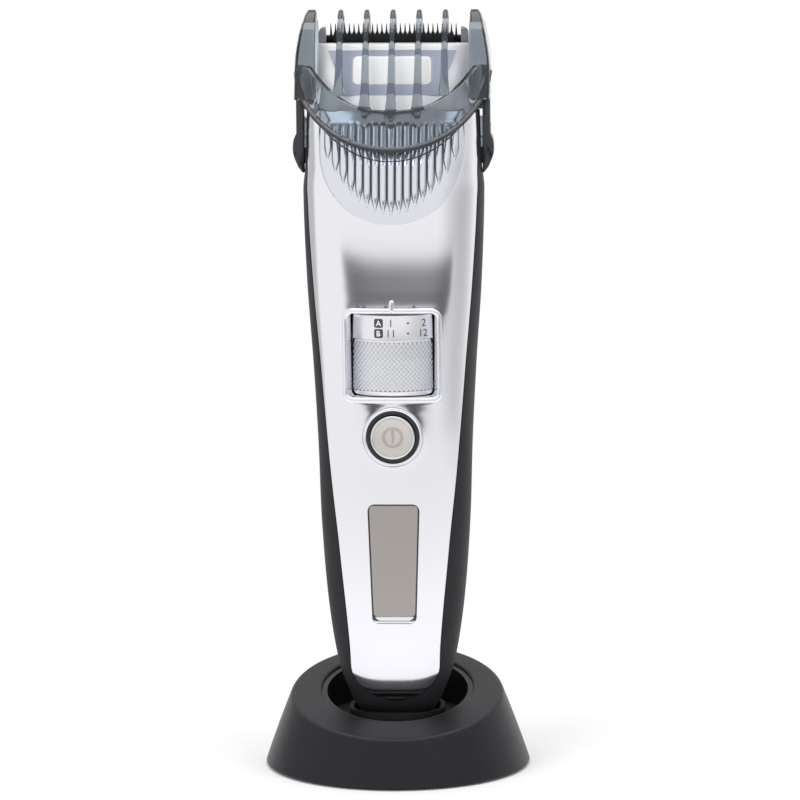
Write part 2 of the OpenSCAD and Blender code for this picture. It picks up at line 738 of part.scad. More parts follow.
module display_bezel() {
    color("dimgray") on_face(display_z) difference() {
        translate([0, 0, -4]) linear_extrude(4.1) display_outline(fit);
        translate([0, 0, -big]) linear_extrude(2 * big) display_outline(bezel_t + fit);
    }
}
module display_window() {
    color([0.65, 0.62, 0.61]) on_face(display_z)
        translate([0, 0, -1.9]) linear_extrude(1.8) display_outline(bezel_t + 2 * fit);
}

// ---- blade block ----
tip_z = top_z + tip_over;
tip_y = 2.5;
tooth_count = floor((blade_w - 2 * blade_end) / tooth_pitch + 0.01);
block_top = top_z + block_h;
block_w = blade_w + 2 * block_edge;
block_front = 3;                        // depth of the block's front edge at its top
rail = fixed_t / cos(blade_lean);
function blade_y(z) = tip_y + (tip_z - z) * tan(blade_lean);
function block_half(z) = (block_w - 2 * (z - top_z) / block_h) / 2;
function block_y(z) = -(front(top_z) + (block_front - front(top_z)) * (z - top_z) / block_h);
block_lean = atan((front(top_z) - block_front) / block_h);
module at_blade() {
    translate([0, tip_y, tip_z]) rotate([blade_lean, 0, 0]) children();
}
channel_l = 17;                         // length of the moving blade's channel
channel_half = blade_w / 2 - 1.9;
module blade_housing() {
    color("whitesmoke") difference() {
        loft([for (i = [0:4]) let (z = top_z + block_h * i / 4, back = blade_y(z) - rail)
            at_z([for (k = [0:24]) let (a = -90 + 180 * k / 24)
                [block_half(z) * spow(sin(a), 0.5),
                 back - (back - block_y(z)) * spow(cos(a), 0.5)]], z)]);
        // channel for the moving blade and space for its yoke
        at_blade() box([-channel_half, -fixed_t - moving_t - 0.15, -channel_l],
                       [channel_half, 1, 10]);
        at_blade() box([-spring_x1 - 0.3, -fixed_t - 5.5, -channel_l + 1], [spring_x1 + 0.3, 1, -7.6]);
        box([-pin_r - stroke - clear, pin_y - pin_r - clear, top_z - 1],
            [pin_r + stroke + clear, pin_y + pin_r + clear, pin_top + clear]);
        box([-pin_r - stroke - clear, pin_y - pin_r - clear, top_z - 1],
            [pin_r + stroke + clear, 10, pin_top + clear]);
        on_label() translate([0, 0, -0.7]) linear_extrude(4) rounded(label_w, label_h, 1.4);
        on_label() translate([0, 0, -0.15]) linear_extrude(4) panel_trapezoid();
    }
}
label_w = 20.2;
label_h = 7.8;
label_z = top_z + 10.8;
module on_label() {
    translate([0, block_y(label_z), label_z]) rotate([90 - block_lean, 0, 0]) children();
}
module panel_trapezoid() {
    up = (block_top - 1.4 - label_z) / cos(block_lean);
    polygon([[-12.2, -7], [12.2, -7], [16.8, up], [-16.8, up]]);
}
module label_plate() {
    color("white") on_label() translate([0, 0, -0.7])
        linear_extrude(0.7) rounded(label_w - 2 * fit, label_h - 2 * fit, 1.4);
}
// Comb of pointed teeth, roots at y = 0
module tooth_row(count, l, root, tip) {
    for (i = [0:count - 1]) translate([(i - (count - 1) / 2) * tooth_pitch, 0])
        polygon([[-root / 2, -0.5], [root / 2, -0.5], [root / 2, 0], [tip / 2, l],
                 [-tip / 2, l], [-root / 2, 0]]);
}
module blade_plate(t, w, l, back, count, tooth, root, tip) {
    rotate([90, 0, 0]) linear_extrude(t) translate([0, -back]) {
        translate([-w / 2, -l]) square([w, l - tooth]);
        translate([0, -tooth]) tooth_row(count, tooth, root, tip);
    }
}
module fixed_blade() {
    color("silver") at_blade()
        blade_plate(fixed_t, blade_w, blade_l, 0, tooth_count, tooth_l, 0.65, 0.15);
}
moving_half = (tooth_count - 1) * tooth_pitch / 2 - 0.2;
module moving_blade() {
    color(dark) at_blade() translate([0, -fixed_t - 0.05, 0])
        blade_plate(moving_t, 2 * moving_half, channel_l - tooth_back - 0.8, tooth_back,
            tooth_count - 2, moving_tooth_l, 1.05, 0.3);
}
guard_r = 1.95;                         // radius of the guards' round outer corners
guard_z = -2.4;                         // height of the corners' centres, along the blade
module blade_guards() {
    low = (block_top - tip_z + (fixed_t + 1.2) * sin(blade_lean)) / cos(blade_lean);
    color("dimgray") at_blade() both_sides() translate([blade_w / 2, 0, 0])
        translate([0, -fixed_t, 0]) rotate([90, 0, 0]) linear_extrude(1.2) intersection() {
            translate([-guard_r, guard_z]) circle(r = guard_r);
            translate([-guard_r, -8]) square([guard_r, 8]);
        }
    color("dimgray") at_blade() both_sides()
        box([blade_w / 2 - guard_r + 0.1, -fixed_t - 1.2, low + 0.1], [blade_w / 2, -fixed_t, guard_z]);
}
module blade_yoke() {
    back = -fixed_t - 0.05 - moving_t;
    color("gray") difference() {
        at_blade() box([-6, back - 3.4, -channel_l + 1.4], [6, back, -8]);
        // slot that takes the top of the drive pin
        box([-pin_r - 0.05, pin_y - pin_r - 2, top_z - 2],
            [pin_r + 0.05, 30, pin_top + clear]);
    }
}
spring_x0 = 7.6;
spring_x1 = 10;
module blade_spring() {
    back = -fixed_t - 5.5;
    face = -fixed_t - moving_t - 0.1;
    color("silver") both_sides() at_blade() side_profile([
        [back, -channel_l + 1], [back + 0.5, -channel_l + 1], [back + 0.5, -channel_l + 3],
        [face, -9.5], [face, -8.6], [face - 0.5, -8.6], [back, -channel_l + 3.4]],
        spring_x0, spring_x1);
}

// ---- comb ----
side_t = 2.8;                           // least room for an outer tine beside the block
comb_in = max(wide(tab_z) + comb_gap, block_w / 2 + side_t);    // inner half width of the comb
comb_out = comb_in + comb_wall;
band_top = top_z + 1.2;                 // highest point of the band at the middle
band_low = top_z - 9.3;                 // its lowest point
leg_low = top_z - 18.6;                 // lower end of the leg's wing
leg_top = top_z + 12;
leg_half = 3.5;
grip = 0.85;                            // how far the leg's grip stands out
lug_hold = 0.96;                        // overlap of the comb's lug and the carriage's tab
band_depth = 20;                        // reach of the band to the front, at its lower edge
band_lean = 0.43;                       // how much the band leans back as it rises
band_lip = 1.4;                         // height of the lip along the band's lower edge
lip_proud = 0.5;
bar_low = top_z - 8;
bar_top = top_z - 2.5;
bar_depth = rear(bar_low) + 4.6;
bar_n = 4;                              // squareness of the rear bar, seen from above
tine_z = tip_z + tine_over;
function band_reach(z) = band_depth - band_lean * (z - band_low);
edge_rise = 9.9;                        // how far the band's upper edge rises at edge_half
edge_half = 20;
foot_rise = 25.5;                       // height of the ellipse that the lower edge follows
foot_half = comb_out + 0.16;
function band_edge(x) = min(leg_top, band_top + edge_rise * pow(abs(x) / edge_half, 2.1));
function band_foot(x) = min(leg_top - 2,
    band_low + foot_rise * (1 - sqrt(1 - pow(min(1, abs(x) / foot_half), 2))));
band_n = 3;                             // squareness of the band, seen from above
function bow(s, n) = pow(1 - pow(abs(s), n), 1 / n);
// Point of the comb's wall at share s of its half width, height z and inset from its face
function band_point(s, z, inset) =
    [(comb_out - inset) * s, -(band_reach(z) - inset) * bow(s, band_n), z];
module comb_band() {
    n = 26;
    loft([for (i = [0:n]) let (
        s = sin(-90 + 180 * i / n), x = comb_out * s,
        low = band_foot(x), top = band_edge(x), lip = min(band_lip, (top - low) / 3))
        [band_point(s, low, comb_wall), band_point(s, top, comb_wall),
         band_point(s, top, 0), band_point(s, low + lip, 0),
         band_point(s, low + lip * 0.8, -lip_proud), band_point(s, low, -lip_proud)]]);
}
module comb_bar() {
    loft([for (z = [bar_low, bar_top]) at_z(concat(
        [for (i = [0:18]) let (a = 90 + 10 * i)
            [comb_out * spow(sin(a), 2 / bar_n), -bar_depth * spow(cos(a), 2 / bar_n)]],
        [for (i = [18:-1:0]) let (a = 90 + 10 * i)
            [comb_in * spow(sin(a), 2 / bar_n),
             -(bar_depth - comb_wall - 1) * spow(cos(a), 2 / bar_n)]]), z)]);
}
module comb_leg() {
    out = comb_out + 0.1;
    side = comb_in - 0.1;
    skirt = max(side, half_w + clear);      // stays clear of the widest part of the handle
    translate([0, leg_half, 0]) rotate([90, 0, 0]) linear_extrude(2 * leg_half)
        polygon([[skirt, leg_low], [skirt + 0.35, leg_low], [out - 0.3, leg_low + 3.4],
                 [out + grip, leg_low + 6], [out + grip, leg_low + 9.8],
                 [out, leg_low + 12], [out, leg_top], [side, leg_top],
                 [side, leg_low + 5.4], [skirt, leg_low + 4]]);
    // lug that stands on the carriage's tab
    box([tab_x - lug_hold, -slot_half + 2 * clear, tab_z + tab_h + clear],
        [comb_in + touch, slot_half - 2 * clear, tab_z + tab_h + 3]);
}
function tine_x(i) = (i - (tine_count - 1) / 2) * tine_pitch;
tine_depth = 2.6;
function tine_foot(x) = band_edge((abs(x) + tine_root_t / 2) * comb_out / comb_in) + 0.15;
function foot_y(x, inset) = -(band_reach(tine_foot(x)) - inset) * bow(x / comb_out, band_n);
module comb_frame() {
    color(smoke) union() {
        comb_band();
        comb_bar();
        both_sides() comb_leg();
        // seats under the tines
        for (i = [0:tine_count - 1]) let (x = tine_x(i))
            box([x - tine_root_t / 2, foot_y(x, 0), tine_foot(x) - 2.5],
                [x + tine_root_t / 2, foot_y(x, tine_depth), tine_foot(x)]);
    }
}
// Side view of a tine's arch: up the front, over the blades and down the skin side
function tine_arch(x) = let (
    f = tine_foot(x), b = 1 - bow(x / comb_out, bar_n), nose = 1.7, up = tip_z - 4.3)
    [[foot_y(x, 0), f], [foot_y(x, tine_depth), f], [-4.1, up],
     [-2.2, up + 3.4], [0.2, tine_z - nose - 0.4], [2.4, tine_z - nose], [4.4, tine_z - nose - 1.2],
     [6.6, up + 1], [blade_y(up - 7) + 2, up - 7], [blade_y(up - 14) + 2.2 - b * 8, up - 14],
     [bar_depth - comb_wall - 1 - b * bar_depth, bar_top],
     [bar_depth - b * bar_depth, bar_top],
     [blade_y(up - 14) + 5.2 - b * 8, up - 14], [blade_y(up - 7) + 4.8, up - 7],
     [9.2, up + 1.6], [6.6, tine_z - 2.3], [4.4, tine_z - 0.6], [2.2, tine_z],
     [0, tine_z - 0.5], [-2.4, tine_z - 2.4], [-4.8, up + 3], [-6.6, up]];
module tine(x) {
    translate([x, 0, 0]) intersection() {
        side_profile(tine_arch(x), -tine_root_t, tine_root_t);
        rotate([90, 0, 0]) translate([0, 0, -big / 2]) linear_extrude(big)
            polygon([[-tine_root_t / 2, bar_top], [tine_root_t / 2, bar_top],
                     [tine_root_t / 2, band_top], [tine_tip_t / 2, tine_z + 1],
                     [-tine_tip_t / 2, tine_z + 1], [-tine_root_t / 2, band_top]]);
    }
}
side_in = block_w / 2 + 0.2;            // inner face of the two outer tines
module side_tine() {
    up = tip_z - 4.3;
    intersection() {
        side_profile([[-leg_half - 2, leg_top], [leg_half + 3.4, leg_top], [9.6, up - 1],
            [9.2, up + 1.6], [6.6, tine_z - 2.3], [4.4, tine_z - 0.6], [2.2, tine_z],
            [0, tine_z - 0.5], [-2.4, tine_z - 2.4], [-4.8, up + 3], [-6.2, up]], side_in, comb_out);
        rotate([90, 0, 0]) translate([0, 0, -big / 2]) linear_extrude(big)
            polygon([[side_in, leg_top], [comb_out, leg_top], [comb_out - 0.2, up],
                     [comb_out - 2, tine_z - 1.6], [comb_out - 2.6, tine_z],
                     [side_in + 0.3, tine_z]]);
    }
}
module comb_tines() {
    color(smoke) {
        for (i = [0:tine_count - 1]) tine(tine_x(i));
        both_sides() side_tine();
    }
}

stand_shell();
stand_cup();
stand_base_plate();
stand_feet();
stand_screws();
stand_contacts();
stand_socket();
stand_socket_contact();
stand_circuit();
rear_housing();
end_cap();
front_panel();
fluted_cover();
inner_frame();
head_frame();
head_seal();
housing_screws();
charge_terminals();
dial_frame();
dial_hub();
display_bezel();
display_window();
status_lamps();
button_ring();
button_seal();
circuit_board();
tact_switch();
battery();
battery_tabs();
motor_frame();
motor_coil();
motor_springs();
dial_wheel();
cam_sleeve();
comb_carriage();
cam_follower();
comb_frame();
comb_tines();
power_button();
motor_armature();
drive_pin();
blade_housing();
label_plate();
fixed_blade();
blade_guards();
moving_blade();
blade_yoke();
blade_spring();
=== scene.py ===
# Hair clipper with an adjustable comb, standing in its round charging stand
import bpy, bmesh, math
from mathutils import Matrix, Vector, geometry, kdtree


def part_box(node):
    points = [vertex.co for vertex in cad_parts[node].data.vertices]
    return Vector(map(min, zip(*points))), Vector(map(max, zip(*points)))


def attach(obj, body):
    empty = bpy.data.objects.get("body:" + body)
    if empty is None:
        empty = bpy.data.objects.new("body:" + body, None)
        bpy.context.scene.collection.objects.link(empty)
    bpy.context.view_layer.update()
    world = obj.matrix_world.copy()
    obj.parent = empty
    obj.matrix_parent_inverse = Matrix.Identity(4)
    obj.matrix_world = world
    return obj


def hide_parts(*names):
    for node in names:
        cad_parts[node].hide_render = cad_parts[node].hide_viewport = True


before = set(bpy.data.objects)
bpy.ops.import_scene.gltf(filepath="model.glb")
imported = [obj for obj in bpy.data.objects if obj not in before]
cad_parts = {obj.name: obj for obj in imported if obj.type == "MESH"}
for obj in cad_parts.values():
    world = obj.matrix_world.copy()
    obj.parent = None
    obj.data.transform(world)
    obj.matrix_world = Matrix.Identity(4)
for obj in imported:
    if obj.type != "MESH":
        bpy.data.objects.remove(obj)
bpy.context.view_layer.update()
print("frame loaded:", len(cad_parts), "nodes")


# small helpers
def hexColour(code):
    # sRGB hex to the linear values that the sockets take
    parts = [int(code[i:i + 2], 16) / 255 for i in (0, 2, 4)]
    return tuple(p / 12.92 if p <= 0.04045 else ((p + 0.055) / 1.055) ** 2.4 for p in parts) + (1,)


def addNode(tree, kind, inputs=None, **settings):
    node = tree.nodes.new(kind)
    for name, value in settings.items():
        setattr(node, name, value)
    for name, value in (inputs or {}).items():
        if isinstance(value, bpy.types.NodeSocket):
            tree.links.new(value, node.inputs[name])
        else:
            node.inputs[name].default_value = value
    return node


def finishPiece(name, mesh, material, body, sharp=35):
    work = bmesh.new()
    work.from_mesh(mesh)
    bmesh.ops.remove_doubles(work, verts=work.verts, dist=2e-7)
    bmesh.ops.dissolve_degenerate(work, edges=work.edges, dist=1e-7)
    bmesh.ops.recalc_face_normals(work, faces=work.faces)
    work.to_mesh(mesh)
    work.free()
    if not mesh.materials:
        mesh.materials.append(material)
    mesh.shade_smooth()
    mesh.set_sharp_from_angle(angle=math.radians(sharp))
    piece = bpy.data.objects.new(name, mesh)
    bpy.context.scene.collection.objects.link(piece)
    if body:
        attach(piece, body)
    return piece


def buildPiece(name, points, faces, material, body, sharp=35):
    mesh = bpy.data.meshes.new(name)
    mesh.from_pydata([(p[0] / 1000, p[1] / 1000, p[2] / 1000) for p in points], [], faces)
    return finishPiece(name, mesh, material, body, sharp)


def gridFaces(rows, columns, wrapRows=False, wrapColumns=True):
    faces = []
    for r in range(rows if wrapRows else rows - 1):
        s = (r + 1) % rows
        for c in range(columns if wrapColumns else columns - 1):
            d = (c + 1) % columns
            faces.append((r * columns + c, r * columns + d, s * columns + d, s * columns + c))
    return faces


def stackFaces(rows, count):
    # rings one over another, closed at both ends
    return gridFaces(rows, count) + [tuple(range(count)), tuple(range((rows - 1) * count, rows * count))]


def loftPiece(name, rings, material, body, sharp=35):
    return buildPiece(name, [p for ring in rings for p in ring], stackFaces(len(rings), len(rings[0])), material,
                      body, sharp)


def lathePiece(name, profile, place, material, body, steps=96, sharp=35):
    # profile is a closed outline of (radius, height), turned round the upright axis at the point place, or round
    # the local z axis of the matrix place
    points = []
    for i in range(steps):
        turn = 2 * math.pi * i / steps
        points += [(r * math.cos(turn), r * math.sin(turn), z) for r, z in profile]
    if isinstance(place, Matrix):
        points = [place @ Vector(p) for p in points]
    else:
        points = [(place[0] + x, place[1] + y, z) for x, y, z in points]
    return buildPiece(name, points, gridFaces(steps, len(profile), wrapRows=True), material, body, sharp)


def boxPiece(name, low, high, material, matrix=None):
    points = [Vector((x, y, z)) for x in (low[0], high[0]) for y in (low[1], high[1]) for z in (low[2], high[2])]
    if matrix:
        points = [matrix @ p for p in points]
    faces = [(0, 1, 3, 2), (4, 6, 7, 5), (0, 4, 5, 1), (2, 3, 7, 6), (0, 2, 6, 4), (1, 5, 7, 3)]
    return buildPiece(name, points, faces, material, None)


def applyModifiers(piece, sharp=35):
    graph = bpy.context.evaluated_depsgraph_get()
    mesh = bpy.data.meshes.new_from_object(piece.evaluated_get(graph))
    old = piece.data
    piece.modifiers.clear()
    piece.data = mesh
    mesh.name = old.name
    bpy.data.meshes.remove(old)
    mesh.shade_smooth()
    mesh.set_sharp_from_angle(angle=math.radians(sharp))


def combine(piece, others, operation, sharp=35):
    # joins or cuts closed pieces; the others are used up
    for other in others:
        step = piece.modifiers.new("combine", "BOOLEAN")
        step.operation = operation
        step.solver = "MANIFOLD"
        step.object = other
        applyModifiers(piece, sharp)
        bpy.data.objects.remove(other)


def spread(points, steps, before, after):
    # Catmull-Rom line through the points, with the same number of steps on each stretch
    points = [Vector(p) for p in points]
    points = [before(points)] + points + [after(points)]
    line = []
    for p0, p1, p2, p3 in zip(points, points[1:], points[2:], points[3:]):
        for t in (k / steps for k in range(steps)):
            line.append(0.5 * ((2 * p1) + (p2 - p0) * t + (2 * p0 - 5 * p1 + 4 * p2 - p3) * t ** 2
                               + (3 * p1 - p0 - 3 * p2 + p3) * t ** 3))
    return line + [points[-2]]


def smoothLine(points, count):
    # line through the points, with count points spaced evenly along it
    dense = spread(points, 12, lambda line: line[0] * 2 - line[1], lambda line: line[-1] * 2 - line[-2])
    reach = [0]
    for a, b in zip(dense, dense[1:]):
        reach.append(reach[-1] + (b - a).length)
    line, at = [], 0
    for k in range(count):
        target = reach[-1] * k / (count - 1)
        while at < len(reach) - 2 and reach[at + 1] < target:
            at += 1
        span = reach[at + 1] - reach[at] or 1
        line.append(dense[at].lerp(dense[at + 1], (target - reach[at]) / span))
    return line


# the handle's form, from the same tables as the solids
handle = {
    "footZ": 13.0, "length": 159.0, "halfWidth": 23.4, "halfDepth": 17.5,
    "frontSquareness": 3.0, "rearSquareness": 2.5, "wall": 2.0, "capLength": 5.5,
    "panelEndRadius": 9.0, "panelTip": 1.2, "seam": 0.12,
    "coverHalf": 18.7, "coverLow": 131.0, "coverRise": 19.0,
}
widthLine = [(0, .42), (.04, .525), (.088, .645), (.189, .756), (.327, .829), (.459, .859),
             (.591, .906), (.723, .966), (.874, 1), (.912, .975), (1, .955)]
frontLine = [(0, .5), (.044, .66), (.1, .76), (.19, .82), (.33, .88), (.46, .925), (.59, .965),
             (.72, .994), (.83, .989), (.912, .91), (1, .68)]
rearLine = [(0, .48), (.044, .63), (.107, .76), (.233, .855), (.42, .868), (.58, .868), (.7, .925),
            (.83, .983), (.912, .948), (1, .81)]
panelLine = [(.036, .85), (.132, .722), (.296, .75), (.44, .835), (.547, .872), (.736, .908),
             (.82, .925), (.87, .935), (.93, .965), (1, .975)]
footZ = handle["footZ"]
topZ = footZ + handle["length"]


def curveAt(table, x):
    i = 0
    while i < len(table) - 2 and x >= table[i + 1][0]:
        i += 1

    def slope(k):
        a, b = max(0, k - 1), min(len(table) - 1, k + 1)
        return (table[b][1] - table[a][1]) / (table[b][0] - table[a][0])
    h = table[i + 1][0] - table[i][0]
    s = min(1, max(0, (x - table[i][0]) / h))
    r = 1 - s
    return (table[i][1] * (1 + 2 * s) * r * r + h * slope(i) * s * r * r
            + table[i + 1][1] * s * s * (3 - 2 * s) - h * slope(i + 1) * s * s * r)


def share(z):
    return (z - footZ) / handle["length"]


def wide(z):
    return handle["halfWidth"] * curveAt(widthLine, share(z))


def front(z):
    return handle["halfDepth"] * curveAt(frontLine, share(z))


def rear(z):
    return handle["halfDepth"] * curveAt(rearLine, share(z))


def signedPower(v, p):
    return math.copysign(abs(v) ** p, v)


def skinPoint(z, turn, inset):
    # turn runs from 0 at the front over 90 at the right to 180 at the rear
    s, c = math.sin(math.radians(turn)), math.cos(math.radians(turn))
    n = handle["frontSquareness"] if c > 0 else handle["rearSquareness"]
    depth = front(z) if c > 0 else rear(z)
    return ((wide(z) - inset) * signedPower(s, 2 / n), -(depth - inset) * signedPower(c, 2 / n), z)


def frontY(x, z, inset=0.0):
    n = handle["frontSquareness"]
    return -(front(z) - inset) * max(0, 1 - (abs(x) / (wide(z) - inset)) ** n) ** (1 / n)


def panelHalf(z, grow=0.0):
    r = handle["panelEndRadius"] + grow
    d = min(r, max(0, panelZ + handle["panelEndRadius"] - z))
    return max(handle["panelTip"], wide(z) * curveAt(panelLine, share(z)) + grow - r + math.sqrt(r * r - d * d))


panelZ = footZ + handle["capLength"] + 0.6


def panelLevels(count):
    # heights up the panel: round its lower end, then in count equal steps
    r = handle["panelEndRadius"]
    return ([panelZ + r * (1 - math.cos(math.radians(90 * k / 16))) for k in range(16)]
            + [panelZ + r + (topZ - panelZ - r) * k / count for k in range(count + 1)])


# sheets that lie on a surface, with rounded edges
def onSurface(surface, x, z):
    e = 0.02
    normal = Vector(((surface(x + e, z) - surface(x - e, z)) / (2 * e), -1,
                     (surface(x, z + e) - surface(x, z - e)) / (2 * e))).normalized()
    return Vector((x, surface(x, z), z)), normal


def edgeFrames(loop, surface, isHole):
    frames = []
    for i, (x, z) in enumerate(loop):
        here, normal = onSurface(surface, x, z)
        a, b = loop[i - 1], loop[(i + 1) % len(loop)]
        along = Vector((b[0], surface(*b), b[1])) - Vector((a[0], surface(*a), a[1]))
        out = along.cross(normal).normalized()
        if out.dot(Vector((b[1] - a[1], 0, a[0] - b[0]))) < 0:
            out.negate()
        frames.append((here, normal, -out if isHole else out))
    return frames


def insideLoop(x, z, loop):
    hit = False
    for (x1, z1), (x2, z2) in zip(loop, loop[1:] + loop[:1]):
        if (z1 > z) != (z2 > z) and x < (x2 - x1) * (z - z1) / (z2 - z1) + x1:
            hit = not hit
    return hit


def sheetPiece(name, outer, holes, surface, material, body, edge=0.3, depth=1.6, spacing=1.0, sharp=40):
    # outer and holes are anticlockwise loops of (x, z); surface gives y
    loops = [(outer, False)] + [(hole, True) for hole in holes]
    flat, edges, rims = [], [], []
    for loop, isHole in loops:
        frames = edgeFrames(loop, surface, isHole)
        first, count = len(flat), len(frames)
        for here, normal, out in frames:
            start = here - out * edge
            flat.append(Vector((start.x, start.z)))
        edges += [(first + i, first + (i + 1) % count) for i in range(count)]
        rims.append((first, frames))
    tree = kdtree.KDTree(len(flat))
    for i, p in enumerate(flat):
        tree.insert((p.x, p.y, 0), i)
    tree.balance()
    lowX, highX = min(p.x for p in flat), max(p.x for p in flat)
    lowZ, highZ = min(p.y for p in flat), max(p.y for p in flat)
    inner = []
    for i in range(int((highX - lowX) / spacing) + 1):
        for j in range(int((highZ - lowZ) / spacing) + 1):
            x = lowX + (i + 0.5) * spacing
            z = lowZ + (j + 0.5) * spacing
            if tree.find((x, z, 0))[2] > 0.55 * spacing:
                inner.append((x, z))
    loops2d = [[(flat[first + i].x, flat[first + i].y) for i in range(len(frames))] for first, frames in rims]
    inner = [p for p in inner if insideLoop(*p, loops2d[0]) and not any(insideLoop(*p, h) for h in loops2d[1:])]
    flat += [Vector(p) for p in inner]
    made = geometry.delaunay_2d_cdt(flat, edges, [], 0, 1e-6)
    points, faces, where = [], [], {}
    for i, p in enumerate(made[0]):
        for source in made[3][i]:
            where[source] = i
        here, normal = onSurface(surface, p.x, p.y)
        points.append(here)
    top = len(points)
    for i in range(top):
        here, normal = onSurface(surface, points[i].x, points[i].z)
        points.append(here - normal * depth)
    for face in made[2]:
        centre = sum((made[0][i] for i in face), Vector((0, 0))) / len(face)
        if not insideLoop(*centre, loops2d[0]) or any(insideLoop(*centre, h) for h in loops2d[1:]):
            continue
        faces.append(tuple(face))
        faces.append(tuple(top + i for i in reversed(face)))
    for first, frames in rims:
        count = len(frames)
        rows = [[where[first + i] for i in range(count)]]
        for k in range(1, 5):
            turn = math.radians(22.5 * k)
            rows.append(list(range(len(points), len(points) + count)))
            for i, (here, normal, out) in enumerate(frames):
                start = points[rows[0][i]]
                points.append(start + out * edge * math.sin(turn) - normal * edge * (1 - math.cos(turn)))
        rows.append(list(range(len(points), len(points) + count)))
        for i, (here, normal, out) in enumerate(frames):
            points.append(points[rows[0][i]] + out * edge - normal * depth)
        rows.append([top + j for j in rows[0]])
        for a, b in zip(rows, rows[1:]):
            for i in range(count):
                j = (i + 1) % count
                faces.append((a[i], a[j], b[j], b[i]))
    piece = buildPiece(name, points, faces, material, body, sharp)
    followSurface(piece, surface)
    return piece


def followSurface(piece, surface, shading=None):
    # takes the shading of the outer skin straight from the surface, so that reflections run smoothly
    normals = []
    for vertex in piece.data.vertices:
        x, y, z = vertex.co * 1000
        here, normal = onSurface(surface, x, z)
        if shading:
            normal = onSurface(shading, x, z)[1]
        normals.append(normal if abs(y - here.y) < 0.004 else Vector((0, 0, 0)))
    piece.data.normals_split_custom_set_from_vertices(normals)


def beadPiece(name, outer, inner, surface, material, body, proud, depth, roundness=0.5, steps=10, sharp=50):
    # bead between two loops of the same count that follows the surface
    rows = []
    for k in range(-1, steps + 2):
        t = min(1, max(0, k / steps))
        height = -depth if k < 0 or k > steps else proud * max(0, math.sin(math.pi * t)) ** roundness
        row = []
        for (x0, z0), (x1, z1) in zip(outer, inner):
            here, normal = onSurface(surface, x0 + (x1 - x0) * t, z0 + (z1 - z0) * t)
            row.append(here + normal * height)
        rows.append(row)
    return buildPiece(name, [p for row in rows for p in row], gridFaces(len(rows), len(outer), wrapRows=True),
                      material, body, sharp)


def roundedLoop(halfTop, halfBottom, halfZ, radius, centreZ, steps=8, topRadius=None, side=14):
    # anticlockwise loop: a rounded rectangle whose top and bottom may differ in width
    loop = []
    topRadius = topRadius or radius
    lowX, lowZ, highX, highZ = halfBottom - radius, halfZ - radius, halfTop - topRadius, halfZ - topRadius
    corners = [(-lowX, -lowZ, 180, radius), (lowX, -lowZ, 270, radius), (highX, highZ, 0, topRadius),
               (-highX, highZ, 90, topRadius)]
    arcs = []
    for cx, cz, start, r in corners:
        arcs.append([(cx + r * math.cos(math.radians(start + 90 * k / steps)),
                      centreZ + cz + r * math.sin(math.radians(start + 90 * k / steps))) for k in range(steps + 1)])
    for a, arc in enumerate(arcs):
        loop += arc
        x0, z0 = arc[-1]
        x1, z1 = arcs[(a + 1) % 4][0]
        loop += [(x0 + (x1 - x0) * k / side, z0 + (z1 - z0) * k / side) for k in range(1, side)]
    return loop


def circleLoop(radius, centreZ, steps=72):
    return [(radius * math.cos(2 * math.pi * k / steps), centreZ + radius * math.sin(2 * math.pi * k / steps))
            for k in range(steps)]


# materials
def startMaterial(name, **shaderInputs):
    material = bpy.data.materials.new(name)
    material.use_nodes = True
    tree = material.node_tree
    tree.nodes.clear()
    shader = addNode(tree, "ShaderNodeBsdfPrincipled", shaderInputs)
    addNode(tree, "ShaderNodeOutputMaterial", {"Surface": shader.outputs["BSDF"]})
    place = addNode(tree, "ShaderNodeTexCoord").outputs["Object"]
    return material, tree, shader, place


def varied(tree, shader, place, socket, low, high, size):
    # a slow change over size millimetres, as moulding and handling leave
    noise = addNode(tree, "ShaderNodeTexNoise", {"Vector": place, "Scale": 1000 / size, "Detail": 3.0})
    share = noise.outputs["Fac"]
    if isinstance(low, str):
        mixed = addNode(tree, "ShaderNodeMix", {0: share, 6: hexColour(low), 7: hexColour(high)},
                        data_type="RGBA").outputs[2]
    else:
        mixed = addNode(tree, "ShaderNodeMapRange", {"Value": share, "To Min": low, "To Max": high}).outputs["Result"]
    tree.links.new(mixed, shader.inputs[socket])


def plainMaterial(name, low, high, roughness, metallic, grain, height, size=12, **more):
    # a moulded, plated or rolled finish: two near colours, a spread of roughness and a fine grain
    material, tree, shader, place = startMaterial(name, Metallic=metallic, **more)
    varied(tree, shader, place, "Base Color", low, high, size)
    varied(tree, shader, place, "Roughness", roughness * 0.85, min(1, roughness * 1.15), size * 0.6)
    if height:  # grain and height in millimetres
        noise = addNode(tree, "ShaderNodeTexNoise", {"Vector": place, "Scale": 1000 / grain, "Detail": 2.0})
        bump = addNode(tree, "ShaderNodeBump", {"Height": noise.outputs["Fac"], "Distance": height / 1000,
                                                "Strength": 1.0})
        tree.links.new(bump.outputs["Normal"], shader.inputs["Normal"])
    return material


# spark-eroded ABS: black, satin, with a fine sandy grain that breaks up the highlights
standAbs = plainMaterial("satinBlackAbs", "161419", "1a181e", 0.38, 0.0, 0.35, 0.012, 30,
                         **{"Specular IOR Level": 0.24})
# the same ABS inside the cup, duller and painted darker for the shade in the cup
cupShadeAbs = plainMaterial("cupShadedBlackAbs", "0f0e10", "141315", 0.5, 0.0, 0.4, 0.01)
# thermoplastic rubber moulded over the shell: charcoal, matt, with a leather-like etched grain
rubber = plainMaterial("etchedRubber", "1d1c1f", "252427", 0.6, 0.0, 0.9, 0.06, 20, **{"Specular IOR Level": 0.24})
# hot-foiled ABS panel: silver, smooth, between satin and mirror
foil = plainMaterial("silverFoilAbs", "e8e8ed", "ededf1", 0.11, 1.0, 40, 0.0, 60)
foilFlutes = plainMaterial("silverFoilFlutes", "dcdde4", "e2e3e9", 0.16, 1.0, 40, 0.0, 60)
